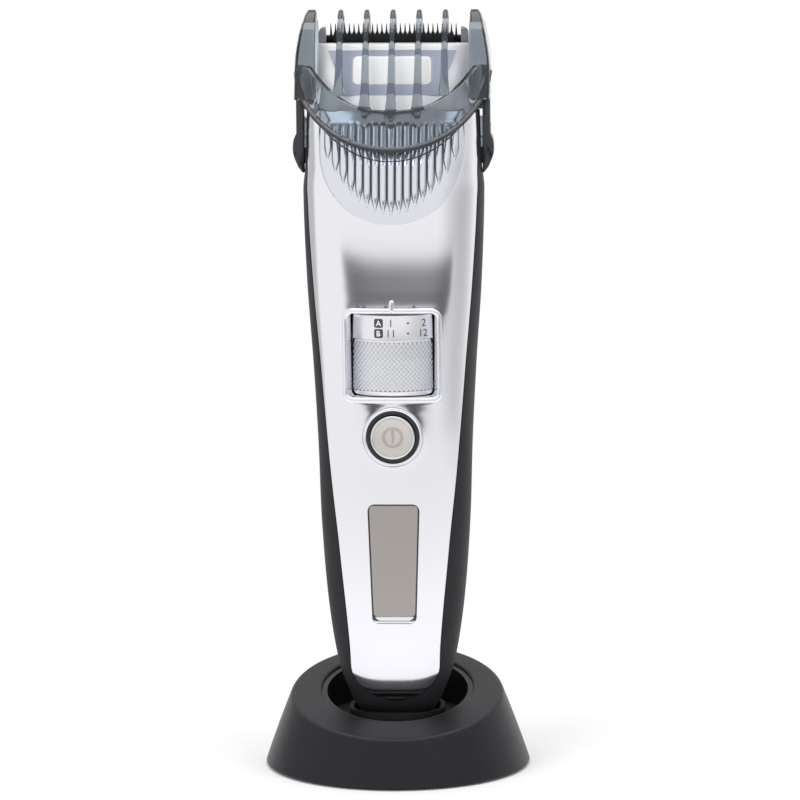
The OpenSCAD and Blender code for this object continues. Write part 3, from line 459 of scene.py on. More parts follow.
# painted shade: the foil in the grooves between the flutes is coloured darker and duller, standing in for the shade and
# dark reflections there
grooveShade = plainMaterial("paintedGrooveShade", "a4a6b2", "aeb0bb", 0.4, 1.0, 40, 0.0, 4)
# chromium plate on ABS: bright mirror with a trace of haze
chrome = plainMaterial("chromePlate", "eaebf0", "eeeff4", 0.17, 1.0, 40, 0.0, 30)
# satin nickel plate of the setting wheel
satinNickel = plainMaterial("satinNickel", "e7e8eb", "ededf0", 0.3, 1.0, 0.3, 0.0)
# the same nickel between the studs, painted darker as the shade that falls between them; lightly worn on the studs
knurlShadeNickel = plainMaterial("knurlShadeNickel", "85868d", "8d8e95", 0.34, 1.0, 0.3, 0.0)
knurlNickel = plainMaterial("knurlNickel", "dcdde1", "e2e3e7", 0.36, 1.0, 0.3, 0.0)
# vapour-plated acrylic over the display: warm grey, satin
mirrorAcrylic = plainMaterial("platedAcrylic", "a39d99", "aba5a0", 0.34, 0.75, 0.25, 0.002, 40)
# anodised aluminium cap of the button: champagne, satin
champagne = plainMaterial("champagneAluminium", "cfc9c5", "d5cfca", 0.36, 0.8, 0.2, 0.004)
# the same aluminium on the raised symbol, duller and painted darker as shade that sets the relief off
symbolShadeChampagne = plainMaterial("champagneReliefShade", "b5aeaa", "bcb5b0", 0.4, 0.8, 0.2, 0.004)
silverEdge = plainMaterial("polishedEdge", "dcdcdf", "e3e3e6", 0.16, 1.0, 0.2, 0.0)  # polished aluminium rim
sealRubber = plainMaterial("sealRubber", "1f1d1c", "262422", 0.5, 0.0, 0.4, 0.01)  # black silicone
# polyacetal block of the blades: white, faintly waxy
whiteAcetal = plainMaterial("whiteAcetal", "f0f0f2", "f6f6f7", 0.38, 0.0, 0.3, 0.004)
greyPaint = plainMaterial("greyPrint", "a2a9bb", "a9b0c1", 0.45, 0.0, 0.25, 0.002)  # pad-printed blue-grey paint
labelFilm = plainMaterial("labelFilm", "fafafa", "fdfdfd", 0.3, 0.0, 0.2, 0.001)  # white polyester film
# black coated blade steel: dark, half gloss
coatedSteel = plainMaterial("blackCoatedSteel", "1c1b1d", "232224", 0.34, 0.6, 0.25, 0.003)
guardGrey = plainMaterial("greyGuard", "8d8d91", "97979b", 0.35, 0.0, 0.3, 0.004)  # grey polyacetal
inkDark = plainMaterial("printedInk", "3a3a40", "414147", 0.5, 0.0, 0.2, 0.001)  # screen-printed dark ink
# moulded ABS of the parts within, dark and mid grey
darkPlastic = plainMaterial("darkMouldedPlastic", "2b2b2e", "343437", 0.42, 0.0, 0.4, 0.008)
greyPlastic = plainMaterial("greyMouldedPlastic", "6d6e72", "77787c", 0.45, 0.0, 0.4, 0.008)
# white polyacetal of the sleeve and hub
acetalWhite = plainMaterial("sleeveAcetal", "e6e6e2", "efefeb", 0.4, 0.0, 0.3, 0.004)
zincSteel = plainMaterial("zincPlatedSteel", "b4b6b8", "c2c4c6", 0.3, 1.0, 0.3, 0.004)  # steel with bright zinc plate
goldPlate = plainMaterial("goldPlate", "d9b266", "e0ba70", 0.22, 1.0, 0.3, 0.003)  # gold plate over nickel
copperWire = plainMaterial("enamelledCopper", "a8613a", "b56d43", 0.3, 0.9, 0.2, 0.02)  # enamelled copper wire
# epoxy board under green solder mask
boardGreen = plainMaterial("solderMask", "1f4a33", "28573d", 0.35, 0.0, 0.3, 0.006)
cellWrap = plainMaterial("cellWrap", "3e6d52", "47775b", 0.32, 0.0, 0.6, 0.004)  # heat-shrunk wrap of the cell
lampWhite = plainMaterial("lampLens", "e9e9e6", "f2f2ef", 0.35, 0.0, 0.3, 0.003)  # milky polycarbonate of the lamps

# clear smoke-grey polycarbonate of the comb: glossy, tinted through its thickness
smoke, smokeTree, smokeShader, smokePlace = startMaterial("smokePolycarbonate", IOR=1.585, Roughness=0.03)
smokeShader.inputs["Transmission Weight"].default_value = 1.0
varied(smokeTree, smokeShader, smokePlace, "Base Color", "f1f3f5", "f6f8fa", 15)
tint = addNode(smokeTree, "ShaderNodeVolumeAbsorption", {"Color": (0.22, 0.3, 0.37, 1), "Density": 560.0})
smokeTree.links.new(tint.outputs[0], smokeTree.get_output_node("ALL").inputs["Volume"])
# the grips at the comb's sides are thick and nearly opaque; these and the comb's other thick parts are an opaque dark
# smoke, partly the tint of thick plastic and partly painted shade and dark reflection
paintedDarkSmoke = plainMaterial("thickSmokePaintedShade", "24282d", "2b3036", 0.12, 0.0, 3, 0.003)
print("materials made")


# stand
stand = {"radius": 35.0, "height": 20.2, "rimSlope": 14.0, "lean": 0.33, "bow": 0.0018,
         "hole": 20.0, "wall": 2.2, "low": 0.6, "outerRound": 1.0, "innerRound": 0.7, "steps": 160}


def standRadius(z):
    return stand["radius"] - stand["lean"] * z - stand["bow"] * z * z


def bend(a, corner, b, steps=6):
    # rounded corner between a and b
    return [(a * (1 - t) ** 2 + corner * 2 * t * (1 - t) + b * t * t) for t in [k / steps for k in range(steps + 1)]]


def standProfile(turn):
    rise = math.sin(turn) * math.tan(math.radians(stand["rimSlope"]))
    z = stand["height"]
    for step in range(12):  # the rim's height depends on the radius there, which depends on the height
        z = stand["height"] + standRadius(z) * rise
    corner = Vector((standRadius(z), z))
    below = Vector((standRadius(z - 1.2), z - 1.2))
    inward = Vector((-1, -rise)).normalized()
    line = [Vector((standRadius(stand["low"]) - 0.3, stand["low"])),
            Vector((standRadius(stand["low"] + 0.3), stand["low"] + 0.3))]
    line += [Vector((standRadius(h), h)) for h in [stand["low"] + 0.3 + (z - 1.6 - stand["low"]) * k / 10
                                                     for k in range(1, 10)]]
    line += bend(corner + (below - corner).normalized() * stand["outerRound"], corner,
                 corner + inward * stand["outerRound"])
    hole = Vector((stand["hole"], stand["height"] + stand["hole"] * rise))
    line += bend(hole - inward * stand["innerRound"], hole, hole - Vector((0, stand["innerRound"])))
    line.append(Vector((stand["hole"], hole.y - stand["wall"])))
    under = stand["height"] - stand["wall"] * 1.03
    inner = Vector((standRadius(z) - stand["wall"] * 1.3, under + (standRadius(z) - stand["wall"] * 1.3) * rise))
    line.append(inner)
    heights = [inner.y + (stand["low"] - inner.y) * k / 5 for k in range(1, 6)]
    line += [Vector((standRadius(h) - stand["wall"], h)) for h in heights]
    return [(p.x, p.y) for p in line]


rings = []
for i in range(stand["steps"]):
    turn = 2 * math.pi * i / stand["steps"]
    rings.append([(r * math.cos(turn), r * math.sin(turn), z) for r, z in standProfile(turn)])
standShell = buildPiece("standShell", [p for ring in rings for p in ring],
                        gridFaces(len(rings), len(rings[0]), wrapRows=True), standAbs, "stand", sharp=40)
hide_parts("stand_shell")
print("stand made")


# rubber housing and foot
housing = {"around": 150, "up": 150, "slotHalf": 2.4, "slotLow": 158.2, "slotIn": 17.6, "slotOut": 24.5,
           "capRound": 5.0, "hole": 1.25, "holeAside": 3.2, "holeLow": 12.0, "holeHigh": 20.0}


def housingRing(z):
    half = panelHalf(z, handle["seam"])
    start = math.degrees(math.asin(min(1, (half / wide(z)) ** (handle["frontSquareness"] / 2))))
    n = housing["around"]
    # closer steps beside the panel and round the sides, where the section turns fastest
    turns = [start + (360 - 2 * start) * (0.5 - 0.5 * math.cos(math.pi * i / n)) for i in range(n + 1)]
    ring = [skinPoint(z, t, 0) for t in turns]
    ends = [tuple(Vector(skinPoint(z, turn, 0.3))) for turn in (turns[0], turns[-1])]
    outer = ends[:1] + [tuple(Vector(p)) for p in ring[1:-1]] + ends[1:]
    return outer + [skinPoint(z, t, handle["wall"]) for t in reversed(turns)]


levels = [footZ + handle["capLength"] + 0.02] + panelLevels(housing["up"])
rearHousing = loftPiece("rearHousing", [housingRing(z) for z in levels], rubber, None, sharp=40)
cutters = []
for side in (-1, 1):
    low, high = sorted((side * housing["slotIn"], side * housing["slotOut"]))
    cutters.append(boxPiece("slotCutter", (low, -housing["slotHalf"], housing["slotLow"]),
                            (high, housing["slotHalf"], topZ + 3), rubber))
combine(rearHousing, cutters, "DIFFERENCE", sharp=40)
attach(rearHousing, "handle")
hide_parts("rear_housing")

capRound = housing["capRound"]
rings = []
for k in range(15):
    turn = math.radians(90 * k / 12) if k <= 12 else math.radians(90)
    z = footZ + capRound * (1 - math.cos(turn))
    if k > 12:
        z = footZ + capRound + (handle["capLength"] - capRound) * (k - 12) / 2
    inset = capRound * (1 - math.sin(turn)) * 0.8
    rings.append([skinPoint(z, t * 3.0, inset) for t in range(120)])
footCap = loftPiece("footCap", rings, rubber, None, sharp=40)
cutters = []
low, high = housing["holeLow"], housing["holeHigh"]
for x in (-housing["holeAside"], housing["holeAside"]):
    cutters.append(lathePiece("holeCutter", [(0.0, low), (housing["hole"], low), (housing["hole"], high), (0.0, high)],
                              (x, 0), rubber, None, 32))
combine(footCap, cutters, "DIFFERENCE", sharp=40)
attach(footCap, "handle")
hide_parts("end_cap")
print("housing made")


# silver panel
panel = {"spacing": 0.8, "edge": 0.16, "depth": 1.5, "ring": 7.75, "lip": 0.09, "frameLip": 0.04, "fade": 1.3,
         "fall": 0.25, "fallWide": 9.5}
wheelLow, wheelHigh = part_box("dial_wheel")
wheelZ = footZ + 97.2
wheelY = (wheelLow.y + wheelHigh.y) * 500
frameLow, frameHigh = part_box("dial_frame")
dialHalfX, dialHalfZ = frameHigh.x * 1000, (frameHigh.z - frameLow.z) * 500
buttonZ = footZ + 76
displayZ = footZ + 42.5
displayShape = {"top": 6.7, "bottom": 5.75, "halfZ": 15.8, "radius": 1.8, "gap": 0.32, "lift": 0.85, "corner": 1.1,
                "bezelSunk": 0.3, "bezelProud": 0.05, "bezelDeep": 2.5, "windowSunk": 0.12, "windowEdge": 0.25,
                "windowThick": 1.3, "lipProud": 0.75, "lipDeep": 2.2}


def displayLoop(side, end, radius, centre):
    # the display's outline, smaller by side and end
    return roundedLoop(displayShape["top"] - side, displayShape["bottom"] - side, displayShape["halfZ"] - end,
                       radius, centre)


def panelOutline():
    right = [(panelHalf(z), z) for z in panelLevels(120)]
    half = handle["coverHalf"]
    coverZ = footZ + handle["coverLow"] + handle["coverRise"]
    notch = [(half, topZ - k * (topZ - coverZ) / 8) for k in range(8)]
    notch += [(half * math.cos(math.radians(a)), coverZ - handle["coverRise"] * math.sin(math.radians(a)))
              for a in range(0, 181, 3)]
    notch += [(-half, topZ - k * (topZ - coverZ) / 8) for k in range(7, -1, -1)]
    return right + notch + [(-x, z) for x, z in reversed(right)]


dialOuter = roundedLoop(dialHalfX, dialHalfX, dialHalfZ, 2.2, wheelZ, topRadius=2.7)


def panelShading(x, z):
    # the panel's skin as the light sees it: a faint lip round the button's ring and a shallow fall above it
    fromRing = max(0, math.hypot(x, z - buttonZ) - panel["ring"])
    across, up = max(0, abs(x) - dialHalfX + 2.3), max(0, abs(z - wheelZ) - dialHalfZ + 2.3)
    fromFrame = max(0, math.hypot(across, up) - 2.3)
    lip = panel["lip"] * math.exp(-fromRing / panel["fade"]) + panel["frameLip"] * math.exp(-fromFrame / panel["fade"])
    rise = min(1, max(0, (z - buttonZ - 6.2) / 7.2))
    fall = min(1, max(0, (z - buttonZ - 15) / 14))
    step = (rise * rise * (3 - 2 * rise) - fall * fall * (3 - 2 * fall)) * math.exp(-(x / panel["fallWide"]) ** 4)
    return frontY(x, z) - lip + panel["fall"] * step


frontPanel = sheetPiece("frontPanel", panelOutline(), [
    roundedLoop(dialHalfX - 0.3, dialHalfX - 0.3, dialHalfZ - 0.3, 2.0, wheelZ, topRadius=2.5),
    circleLoop(7.8, buttonZ),
    displayLoop(0, 0, displayShape["radius"], displayZ),
], frontY, foil, "handle", edge=panel["edge"], depth=panel["depth"], spacing=panel["spacing"])
followSurface(frontPanel, frontY, panelShading)
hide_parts("front_panel")
print("panel made:", len(frontPanel.data.polygons), "faces")


# fluted cover
flutes = {"pitch": 2.04, "count": 17, "height": 0.8, "low": 134.0, "rise": 0.051, "ramp": 3.4, "high": 156.4,
          "sink": 0.4}


def startTree(name, labels):
    # a node group for geometry, with a number input for each label
    tree = bpy.data.node_groups.new(name, "GeometryNodeTree")
    tree.interface.new_socket("Geometry", in_out="INPUT", socket_type="NodeSocketGeometry")
    for label in labels:
        tree.interface.new_socket(label, in_out="INPUT", socket_type="NodeSocketFloat")
    tree.interface.new_socket("Geometry", in_out="OUTPUT", socket_type="NodeSocketGeometry")
    known = {socket.name: socket for socket in addNode(tree, "NodeGroupInput").outputs if socket.name}
    return tree, known


def runTree(piece, tree, values, sharp):
    # sets the inputs by their identifiers and turns the result into a mesh
    step = piece.modifiers.new(tree.name, "NODES")
    step.node_group = tree
    for item in tree.interface.items_tree:
        if item.name in values:
            step[item.identifier] = values[item.name]
    applyModifiers(piece, sharp)


def addSteps(tree, known, steps):
    # each step is a new name, what is done, and the numbers or known names that it is done with
    for name, operation, *terms in steps:
        terms = {i: known.get(term, term) for i, term in enumerate(terms)}
        if operation == "SMOOTHSTEP":
            made = addNode(tree, "ShaderNodeMapRange", terms, interpolation_type=operation)
        else:
            made = addNode(tree, "ShaderNodeMath", terms, operation=operation)
        known[name] = made.outputs[0]


def flutedTree(labels, material, grooveShadeMaterial):
    tree, known = startTree("flutedCover", labels)
    place = addNode(tree, "ShaderNodeSeparateXYZ", {0: addNode(tree, "GeometryNodeInputPosition").outputs[0]})
    known["x"], known["z"] = place.outputs[0], place.outputs[2]
    addSteps(tree, known, (
        # distance from the middle of the nearest flute, as a share of half the pitch
        ("turns", "DIVIDE", "x", "Pitch"), ("nearest", "ROUND", "turns"), ("aside", "SUBTRACT", "turns", "nearest"),
        ("aside", "ABSOLUTE", "aside"), ("offset", "MULTIPLY", "aside", 2.0),
        # height above the flute's pointed lower end, which rises to the sides
        ("middle", "MULTIPLY", "nearest", "Pitch"), ("square", "MULTIPLY", "middle", "middle"),
        ("risen", "MULTIPLY", "Rise", "square"), ("lowEnd", "ADD", "Lowest", "risen"),
        ("above", "SUBTRACT", "z", "lowEnd"), ("grown", "DIVIDE", "above", "Ramp"),
        ("grown", "MAXIMUM", "grown", 0.0), ("grown", "MINIMUM", "grown", 1.0),
        # the flutes end shortly below their highest point
        ("fade", "MULTIPLY", "Ramp", 0.4), ("fade", "SUBTRACT", "Highest", "fade"),
        ("fading", "SMOOTHSTEP", "z", "Highest", "fade"),
        # a half-round section, as wide as the flute has grown
        ("width", "POWER", "grown", 0.7), ("span", "MULTIPLY", "width", 0.98), ("span", "MAXIMUM", "span", 0.001),
        ("ratio", "DIVIDE", "offset", "span"), ("bow", "MULTIPLY", "ratio", "ratio"),
        ("bow", "SUBTRACT", 1.0, "bow"), ("bow", "MAXIMUM", "bow", 0.0), ("bow", "SQRT", "bow"),
        ("far", "ABSOLUTE", "nearest"), ("halfCount", "DIVIDE", "Count", 2.0),
        ("inside", "LESS_THAN", "far", "halfCount"),
        ("raised", "POWER", "width", 0.6), ("raised", "MULTIPLY", "raised", "fading"),
        ("lift", "MULTIPLY", "bow", "raised"), ("lift", "MULTIPLY", "lift", "Height"),
        ("lift", "MULTIPLY", "lift", "inside"), ("push", "MULTIPLY", "lift", -1.0),
        # the grooves, given the painted shade: beside each flute, along its outline, where it stands proud
        ("outer", "GREATER_THAN", "ratio", 0.7), ("inner", "LESS_THAN", "ratio", 1.3),
        ("proud", "GREATER_THAN", "raised", 0.4), ("groove", "MULTIPLY", "outer", "inner"),
        ("groove", "MULTIPLY", "groove", "inside"), ("groove", "MULTIPLY", "groove", "proud"),
        ("groove", "GREATER_THAN", "groove", 0.5)))
    push = addNode(tree, "ShaderNodeCombineXYZ", {1: known["push"]})
    moved = addNode(tree, "GeometryNodeSetPosition", {"Geometry": known["Geometry"], "Offset": push.outputs[0]})
    real = addNode(tree, "GeometryNodeRealizeInstances", {0: moved.outputs[0]})
    dressed = addNode(tree, "GeometryNodeSetMaterial", {"Geometry": real.outputs[0], "Material": material})
    dressed = addNode(tree, "GeometryNodeSetMaterial", {
        "Geometry": dressed.outputs[0], "Selection": known["groove"], "Material": grooveShadeMaterial})
    addNode(tree, "NodeGroupOutput", {0: dressed.outputs[0]})
    return tree


coverZ = footZ + handle["coverLow"] + handle["coverRise"]
stepX, stepZ = flutes["pitch"] / 16, 0.4
cols = int(2 * (handle["coverHalf"] + 0.3) / stepX) + 1
rowsZ = int((topZ - (footZ + handle["coverLow"] - 0.3)) / stepZ) + 1
points, index, faces = [], {}, []


def coverPoint(i, j, back):
    key = (i, j, back)
    if key not in index:
        x = (i - (cols - 1) / 2) * stepX
        z = min(topZ, footZ + handle["coverLow"] - 0.3 + j * stepZ)
        index[key] = len(points)
        points.append((x, frontY(x, z, flutes["sink"] + (1.2 if back else 0)), z))
    return index[key]


def coverCell(i, j):
    if not (0 <= i < cols - 1 and 0 <= j < rowsZ):
        return False
    x = (i + 0.5 - (cols - 1) / 2) * stepX
    z = footZ + handle["coverLow"] - 0.3 + (j + 0.5) * stepZ
    if z > topZ:
        return False
    drop = max(0, coverZ - z) / (handle["coverRise"] + 0.3)
    return (x / (handle["coverHalf"] + 0.3)) ** 2 + drop ** 2 < 1


for i in range(cols):
    for j in range(rowsZ):
        if not coverCell(i, j):
            continue
        quad = [(i, j), (i + 1, j), (i + 1, j + 1), (i, j + 1)]
        faces.append(tuple(coverPoint(a, b, False) for a, b in quad))
        faces.append(tuple(coverPoint(a, b, True) for a, b in reversed(quad)))
        for (a, b), (c, d), near in ((quad[0], quad[1], (i, j - 1)), (quad[1], quad[2], (i + 1, j)),
                                     (quad[2], quad[3], (i, j + 1)), (quad[3], quad[0], (i - 1, j))):
            if not coverCell(*near):
                faces.append((coverPoint(a, b, False), coverPoint(a, b, True), coverPoint(c, d, True),
                              coverPoint(c, d, False)))
flutedCover = buildPiece("flutedCover", points, faces, foilFlutes, None, sharp=60)
values = {"Pitch": flutes["pitch"] / 1000, "Count": float(flutes["count"]), "Height": flutes["height"] / 1000,
          "Lowest": (footZ + flutes["low"]) / 1000, "Rise": flutes["rise"] * 1000, "Ramp": flutes["ramp"] / 1000,
          "Highest": (footZ + flutes["high"]) / 1000}
runTree(flutedCover, flutedTree(values, foilFlutes, grooveShade), values, 70)
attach(flutedCover, "handle")
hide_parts("fluted_cover")
print("fluted cover made:", len(flutedCover.data.polygons), "faces")

# setting wheel
wheel = {"bandRadius": 14.15, "knurlRadius": 13.75, "bandLow": 114.35, "top": 120.75, "bottom": 99.6,
         "firstRow": 113.3, "rows": 19, "rowStep": 0.78, "rowShrink": 0.0135, "around": 72, "proud": 0.14,
         "bore": 8.7, "digit": 2.75, "digitThick": 0.05, "digitRise": 0.015, "first": -1.0, "between": 36,
         "lastEarly": 17, "dot": 0.28, "dotSides": 16, "mark": -14, "markSize": 2.35, "markRound": 0.45,
         "letter": 2.1, "letterThick": 0.03, "letterRise": 0.05, "digitRowA": 118.7, "digitRowB": 116.05}
knurlRadius, bandRadius, bandLow = wheel["knurlRadius"], wheel["bandRadius"], wheel["bandLow"]
low, high = wheel["bottom"], wheel["top"]
lathePiece("settingWheel", [
    (wheel["bore"], low + 0.1), (12.6, low), (13.3, low + 0.15), (13.65, low + 0.6), (knurlRadius, low + 1.2),
    (knurlRadius, bandLow - 0.5), (knurlRadius - 0.1, bandLow - 0.25), (bandRadius - 0.12, bandLow - 0.05),
    (bandRadius, bandLow + 0.1), (bandRadius, high - 0.35), (bandRadius - 0.1, high - 0.1), (bandRadius - 0.35, high),
    (wheel["bore"], high)], (0, wheelY), satinNickel, "dial", steps=180)
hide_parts("dial_wheel")
# duller ground from which the studs rise, painted dark as the shade between the studs
low, high = wheel["bottom"] + 1.3, bandLow - 0.7
lathePiece("knurlGround", [
    (knurlRadius - 0.4, low), (knurlRadius + 0.015, low), (knurlRadius + 0.03, low + 0.02),
    (knurlRadius + 0.03, high - 0.02), (knurlRadius + 0.015, high), (knurlRadius - 0.4, high)],
    (0, wheelY), knurlShadeNickel, "dial", steps=180)


def knurlTree(labels, material):
    # raised studs in rows that shift by half a stud, set round the wheel
    tree, known = startTree("knurlRows", labels)
    known["index"] = addNode(tree, "GeometryNodeInputIndex").outputs[0]
    addSteps(tree, known, (
        ("total", "MULTIPLY", "Around", "Rows"),
        ("row", "ADD", "index", 0.5), ("row", "DIVIDE", "row", "Around"), ("row", "FLOOR", "row"),
        ("start", "MULTIPLY", "row", "Around"), ("column", "SUBTRACT", "index", "start"),
        ("odd", "MODULO", "row", 2.0), ("odd", "MULTIPLY", "odd", 0.5), ("shifted", "ADD", "column", "odd"),
        ("turn", "DIVIDE", "shifted", "Around"), ("turn", "MULTIPLY", "turn", 2 * math.pi),
        # each row lies a little closer to the one above it
        ("fall", "MULTIPLY", "row", "Step"), ("before", "SUBTRACT", "row", 1.0),
        ("pairs", "MULTIPLY", "row", "before"), ("closer", "MULTIPLY", "Shrink", 0.5),
        ("closer", "MULTIPLY", "pairs", "closer"), ("fall", "SUBTRACT", "fall", "closer"),
        ("x", "COSINE", "turn"), ("x", "MULTIPLY", "x", "Radius"),
        ("y", "SINE", "turn"), ("y", "MULTIPLY", "y", "Radius"), ("z", "SUBTRACT", "First", "fall"),
        ("height", "MULTIPLY", "row", "Shrink"), ("height", "SUBTRACT", "Step", "height"),
        ("height", "DIVIDE", "height", "Step")))
    studs = addNode(tree, "GeometryNodeMeshLine", {"Count": known["total"]}, mode="OFFSET")
    where = addNode(tree, "ShaderNodeCombineXYZ", {0: known["x"], 1: known["y"], 2: known["z"]})
    studs = addNode(tree, "GeometryNodeSetPosition", {"Geometry": studs.outputs[0], "Position": where.outputs[0]})
    facing = addNode(tree, "ShaderNodeCombineXYZ", {2: known["turn"]})
    size = addNode(tree, "ShaderNodeCombineXYZ", {0: 1.0, 1: 1.0, 2: known["height"]})
    placed = addNode(tree, "GeometryNodeInstanceOnPoints", {
        "Points": studs.outputs[0], "Instance": known["Geometry"], "Rotation": facing.outputs[0],
        "Scale": size.outputs[0]})
    real = addNode(tree, "GeometryNodeRealizeInstances", {0: placed.outputs[0]})
    dressed = addNode(tree, "GeometryNodeSetMaterial", {"Geometry": real.outputs[0], "Material": material})
    addNode(tree, "NodeGroupOutput", {0: dressed.outputs[0]})
    return tree


# one stud: a four-sided point with a small flat top, its base sunk in the wheel
studHalf = math.pi * knurlRadius / wheel["around"]
studTall = wheel["rowStep"] * 0.97
points = [(out, wide * y, tall * z)
          for out, wide, tall in ((-0.15, studHalf, studTall), (0.02, studHalf * 0.97, studTall * 0.97),
                                  (wheel["proud"], 0.12, 0.15))
          for y, z in ((-1, 0), (0, -1), (1, 0), (0, 1))]
faces = gridFaces(3, 4) + [(0, 1, 2, 3), (8, 9, 10, 11)]
wheelKnurl = buildPiece("wheelKnurl", points, faces, knurlNickel, None, sharp=25)
values = {"Radius": knurlRadius / 1000, "First": wheel["firstRow"] / 1000, "Step": wheel["rowStep"] / 1000,
          "Shrink": wheel["rowShrink"] / 1000, "Around": float(wheel["around"]), "Rows": float(wheel["rows"])}
runTree(wheelKnurl, knurlTree(values, knurlNickel), values, 25)
wheelKnurl.data.transform(Matrix.Translation((0, wheelY / 1000, 0)))
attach(wheelKnurl, "dial")
print("wheel made:", len(wheelKnurl.data.polygons), "knurl faces")


def textMesh(body, size, thick):
    # closed solid letters, centred on the middle of their box, in millimetres
    curve = bpy.data.curves.new("letters", "FONT")
    curve.body, curve.size, curve.extrude = body, size, thick / 2
    curve.resolution_u = 3
    letters = bpy.data.objects.new("letters", curve)
    bpy.context.scene.collection.objects.link(letters)
    mesh = bpy.data.meshes.new_from_object(letters.evaluated_get(bpy.context.evaluated_depsgraph_get()))
    points = [v.co.copy() for v in mesh.vertices]
    faces = [tuple(p.vertices) for p in mesh.polygons]
    bpy.data.objects.remove(letters)
    bpy.data.curves.remove(curve)
    bpy.data.meshes.remove(mesh)
    middle = Vector(((min(p.x for p in points) + max(p.x for p in points)) / 2,
                     (min(p.y for p in points) + max(p.y for p in points)) / 2, 0))
    return [p - middle for p in points], faces


def onWheel(point, angle, height, lift):
    # wraps a flat point onto the number band, angle degrees to the right of the front
    turn = math.radians(angle) + point.x / bandRadius
    r = bandRadius + lift + point.z
    return (r * math.sin(turn), wheelY - r * math.cos(turn), height + point.y)


def addFaces(points, faces, newPoints, newFaces):
    start = len(points)
    points += newPoints
    faces += [tuple(start + i for i in face) for face in newFaces]


points, faces = [], []
rise, sides = wheel["digitRise"], wheel["dotSides"]
half = wheel["digitThick"] / 2
for k in range(10):
    angle = wheel["first"] + wheel["between"] * k - (wheel["lastEarly"] if k == 9 else 0)
    for label, height in ((str(k + 1), wheel["digitRowA"]), (str(k + 11), wheel["digitRowB"])):
        shape, shapeFaces = textMesh(label, wheel["digit"], wheel["digitThick"])
        addFaces(points, faces, [onWheel(p, angle, height, rise) for p in shape], shapeFaces)
        if k < 9:
            dot = [Vector((x, y, w)) for w in (-half, half) for x, y in circleLoop(wheel["dot"], 0, sides)]
            addFaces(points, faces, [onWheel(p, angle + wheel["between"] / 2, height, rise) for p in dot],
                     stackFaces(2, sides))
buildPiece("wheelNumbers", points, faces, inkDark, "dial", sharp=30)

points, faces, lightPoints, lightFaces = [], [], [], []
for label, height in (("A", wheel["digitRowA"]), ("B", wheel["digitRowB"])):
    side = wheel["markSize"] / 2
    plate = roundedLoop(side, side, side, wheel["markRound"], 0, steps=5, side=5)
    solid = [Vector((x, y, w)) for w in (-half, half) for x, y in plate]
    addFaces(points, faces, [onWheel(p, wheel["mark"], height, rise) for p in solid], stackFaces(2, len(plate)))
    shape, shapeFaces = textMesh(label, wheel["letter"], wheel["letterThick"])
    addFaces(lightPoints, lightFaces, [onWheel(p, wheel["mark"], height, wheel["letterRise"]) for p in shape],
             shapeFaces)
buildPiece("rowMarks", points, faces, inkDark, "dial", sharp=30)
buildPiece("rowLetters", lightPoints, lightFaces, labelFilm, "dial", sharp=30)
print("numbers made")


# frame of the wheel and its pointer
dialRim = {"side": 1.28, "top": 1.45, "bottom": 1.6, "proud": 0.45, "depth": 3.4}
pointer = {"up": 110.1, "width": 1.4, "length": 3.3, "proud": 0.6, "depth": 0.8}
innerX = dialHalfX - dialRim["side"]
innerZ = dialHalfZ - (dialRim["top"] + dialRim["bottom"]) / 2
innerCentre = wheelZ + (dialRim["bottom"] - dialRim["top"]) / 2
dialInner = roundedLoop(innerX, innerX, innerZ, 1.3, innerCentre, topRadius=1.5)
dialFrame = beadPiece("dialFrame", dialOuter, dialInner, frontY, chrome, "handle", dialRim["proud"], dialRim["depth"],
                      roundness=0.55)
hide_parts("dial_frame")


def faceMatrix(z):
    # local x to the right, local y up along the face, local z outward
    here, normal = onSurface(frontY, 0, z)
    right = Vector((0, 0, 1)).cross(normal).normalized()
    up = normal.cross(right)
    turn = Matrix((right, up, normal)).transposed().to_4x4()
    turn.translation = here
    return turn


def pillPiece(name, matrix, width, length, height, depth, material, body, tip=1.0, steps=20):
    # a bar with round ends and a rounded top; tip below 1 narrows its lower end
    rings = []
    for k in range(8):
        turn = math.radians(90 * max(0, k - 1) / 6)
        inset = width / 2 * (1 - math.cos(turn)) * 0.92
        z = -depth if k == 0 else height * math.sin(turn)
        ring = []
        for i in range(steps * 2):
            a = 2 * math.pi * i / (steps * 2)
            r = width / 2 - inset
            y = r * math.sin(a) + math.copysign(length / 2 - width / 2, math.sin(a + 1e-9))
            x = r * math.cos(a) * (1 if y > 0 else tip + (1 - tip) * (1 + y / (length / 2)))
            ring.append(tuple(matrix @ Vector((x, y, z))))
        rings.append(ring)
    return loftPiece(name, rings, material, body, sharp=45)


pillPiece("pointerPill", faceMatrix(footZ + pointer["up"]), pointer["width"], pointer["length"], pointer["proud"],
          pointer["depth"], chrome, "handle")
print("dial frame made")


# button
button = {"ring": 7.85, "sealOuter": 6.85, "sealInner": 5.78, "cap": 5.7, "rim": 0.55, "rimLow": 0.62,
          "dish": 5.0, "dishTop": 0.47, "dishDeep": 0.34, "sealLow": -2.6, "capLow": -2.4, "ringProud": 0.32}
onButton = faceMatrix(buttonZ)
buttonRing = beadPiece("buttonRing", circleLoop(button["ring"] - 0.1, buttonZ, 96),
                       circleLoop(button["sealOuter"], buttonZ, 96), frontY, chrome, "handle",
                       button["ringProud"], -button["sealLow"], roundness=0.6)
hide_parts("button_ring")
buttonSeal = lathePiece("buttonSeal", [
    (button["sealOuter"] + 0.12, button["sealLow"]), (button["sealOuter"] + 0.12, -0.35), (6.5, -0.12), (6.2, -0.08),
    (5.9, -0.2), (button["sealInner"], -0.45), (button["sealInner"], button["sealLow"])], onButton, sealRubber,
    "handle")
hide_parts("button_seal")
cap, rim, capLow = button["cap"], button["rim"], button["capLow"]
edge = [(cap - 0.2, capLow), (cap, capLow + 0.2), (cap, button["rimLow"])]
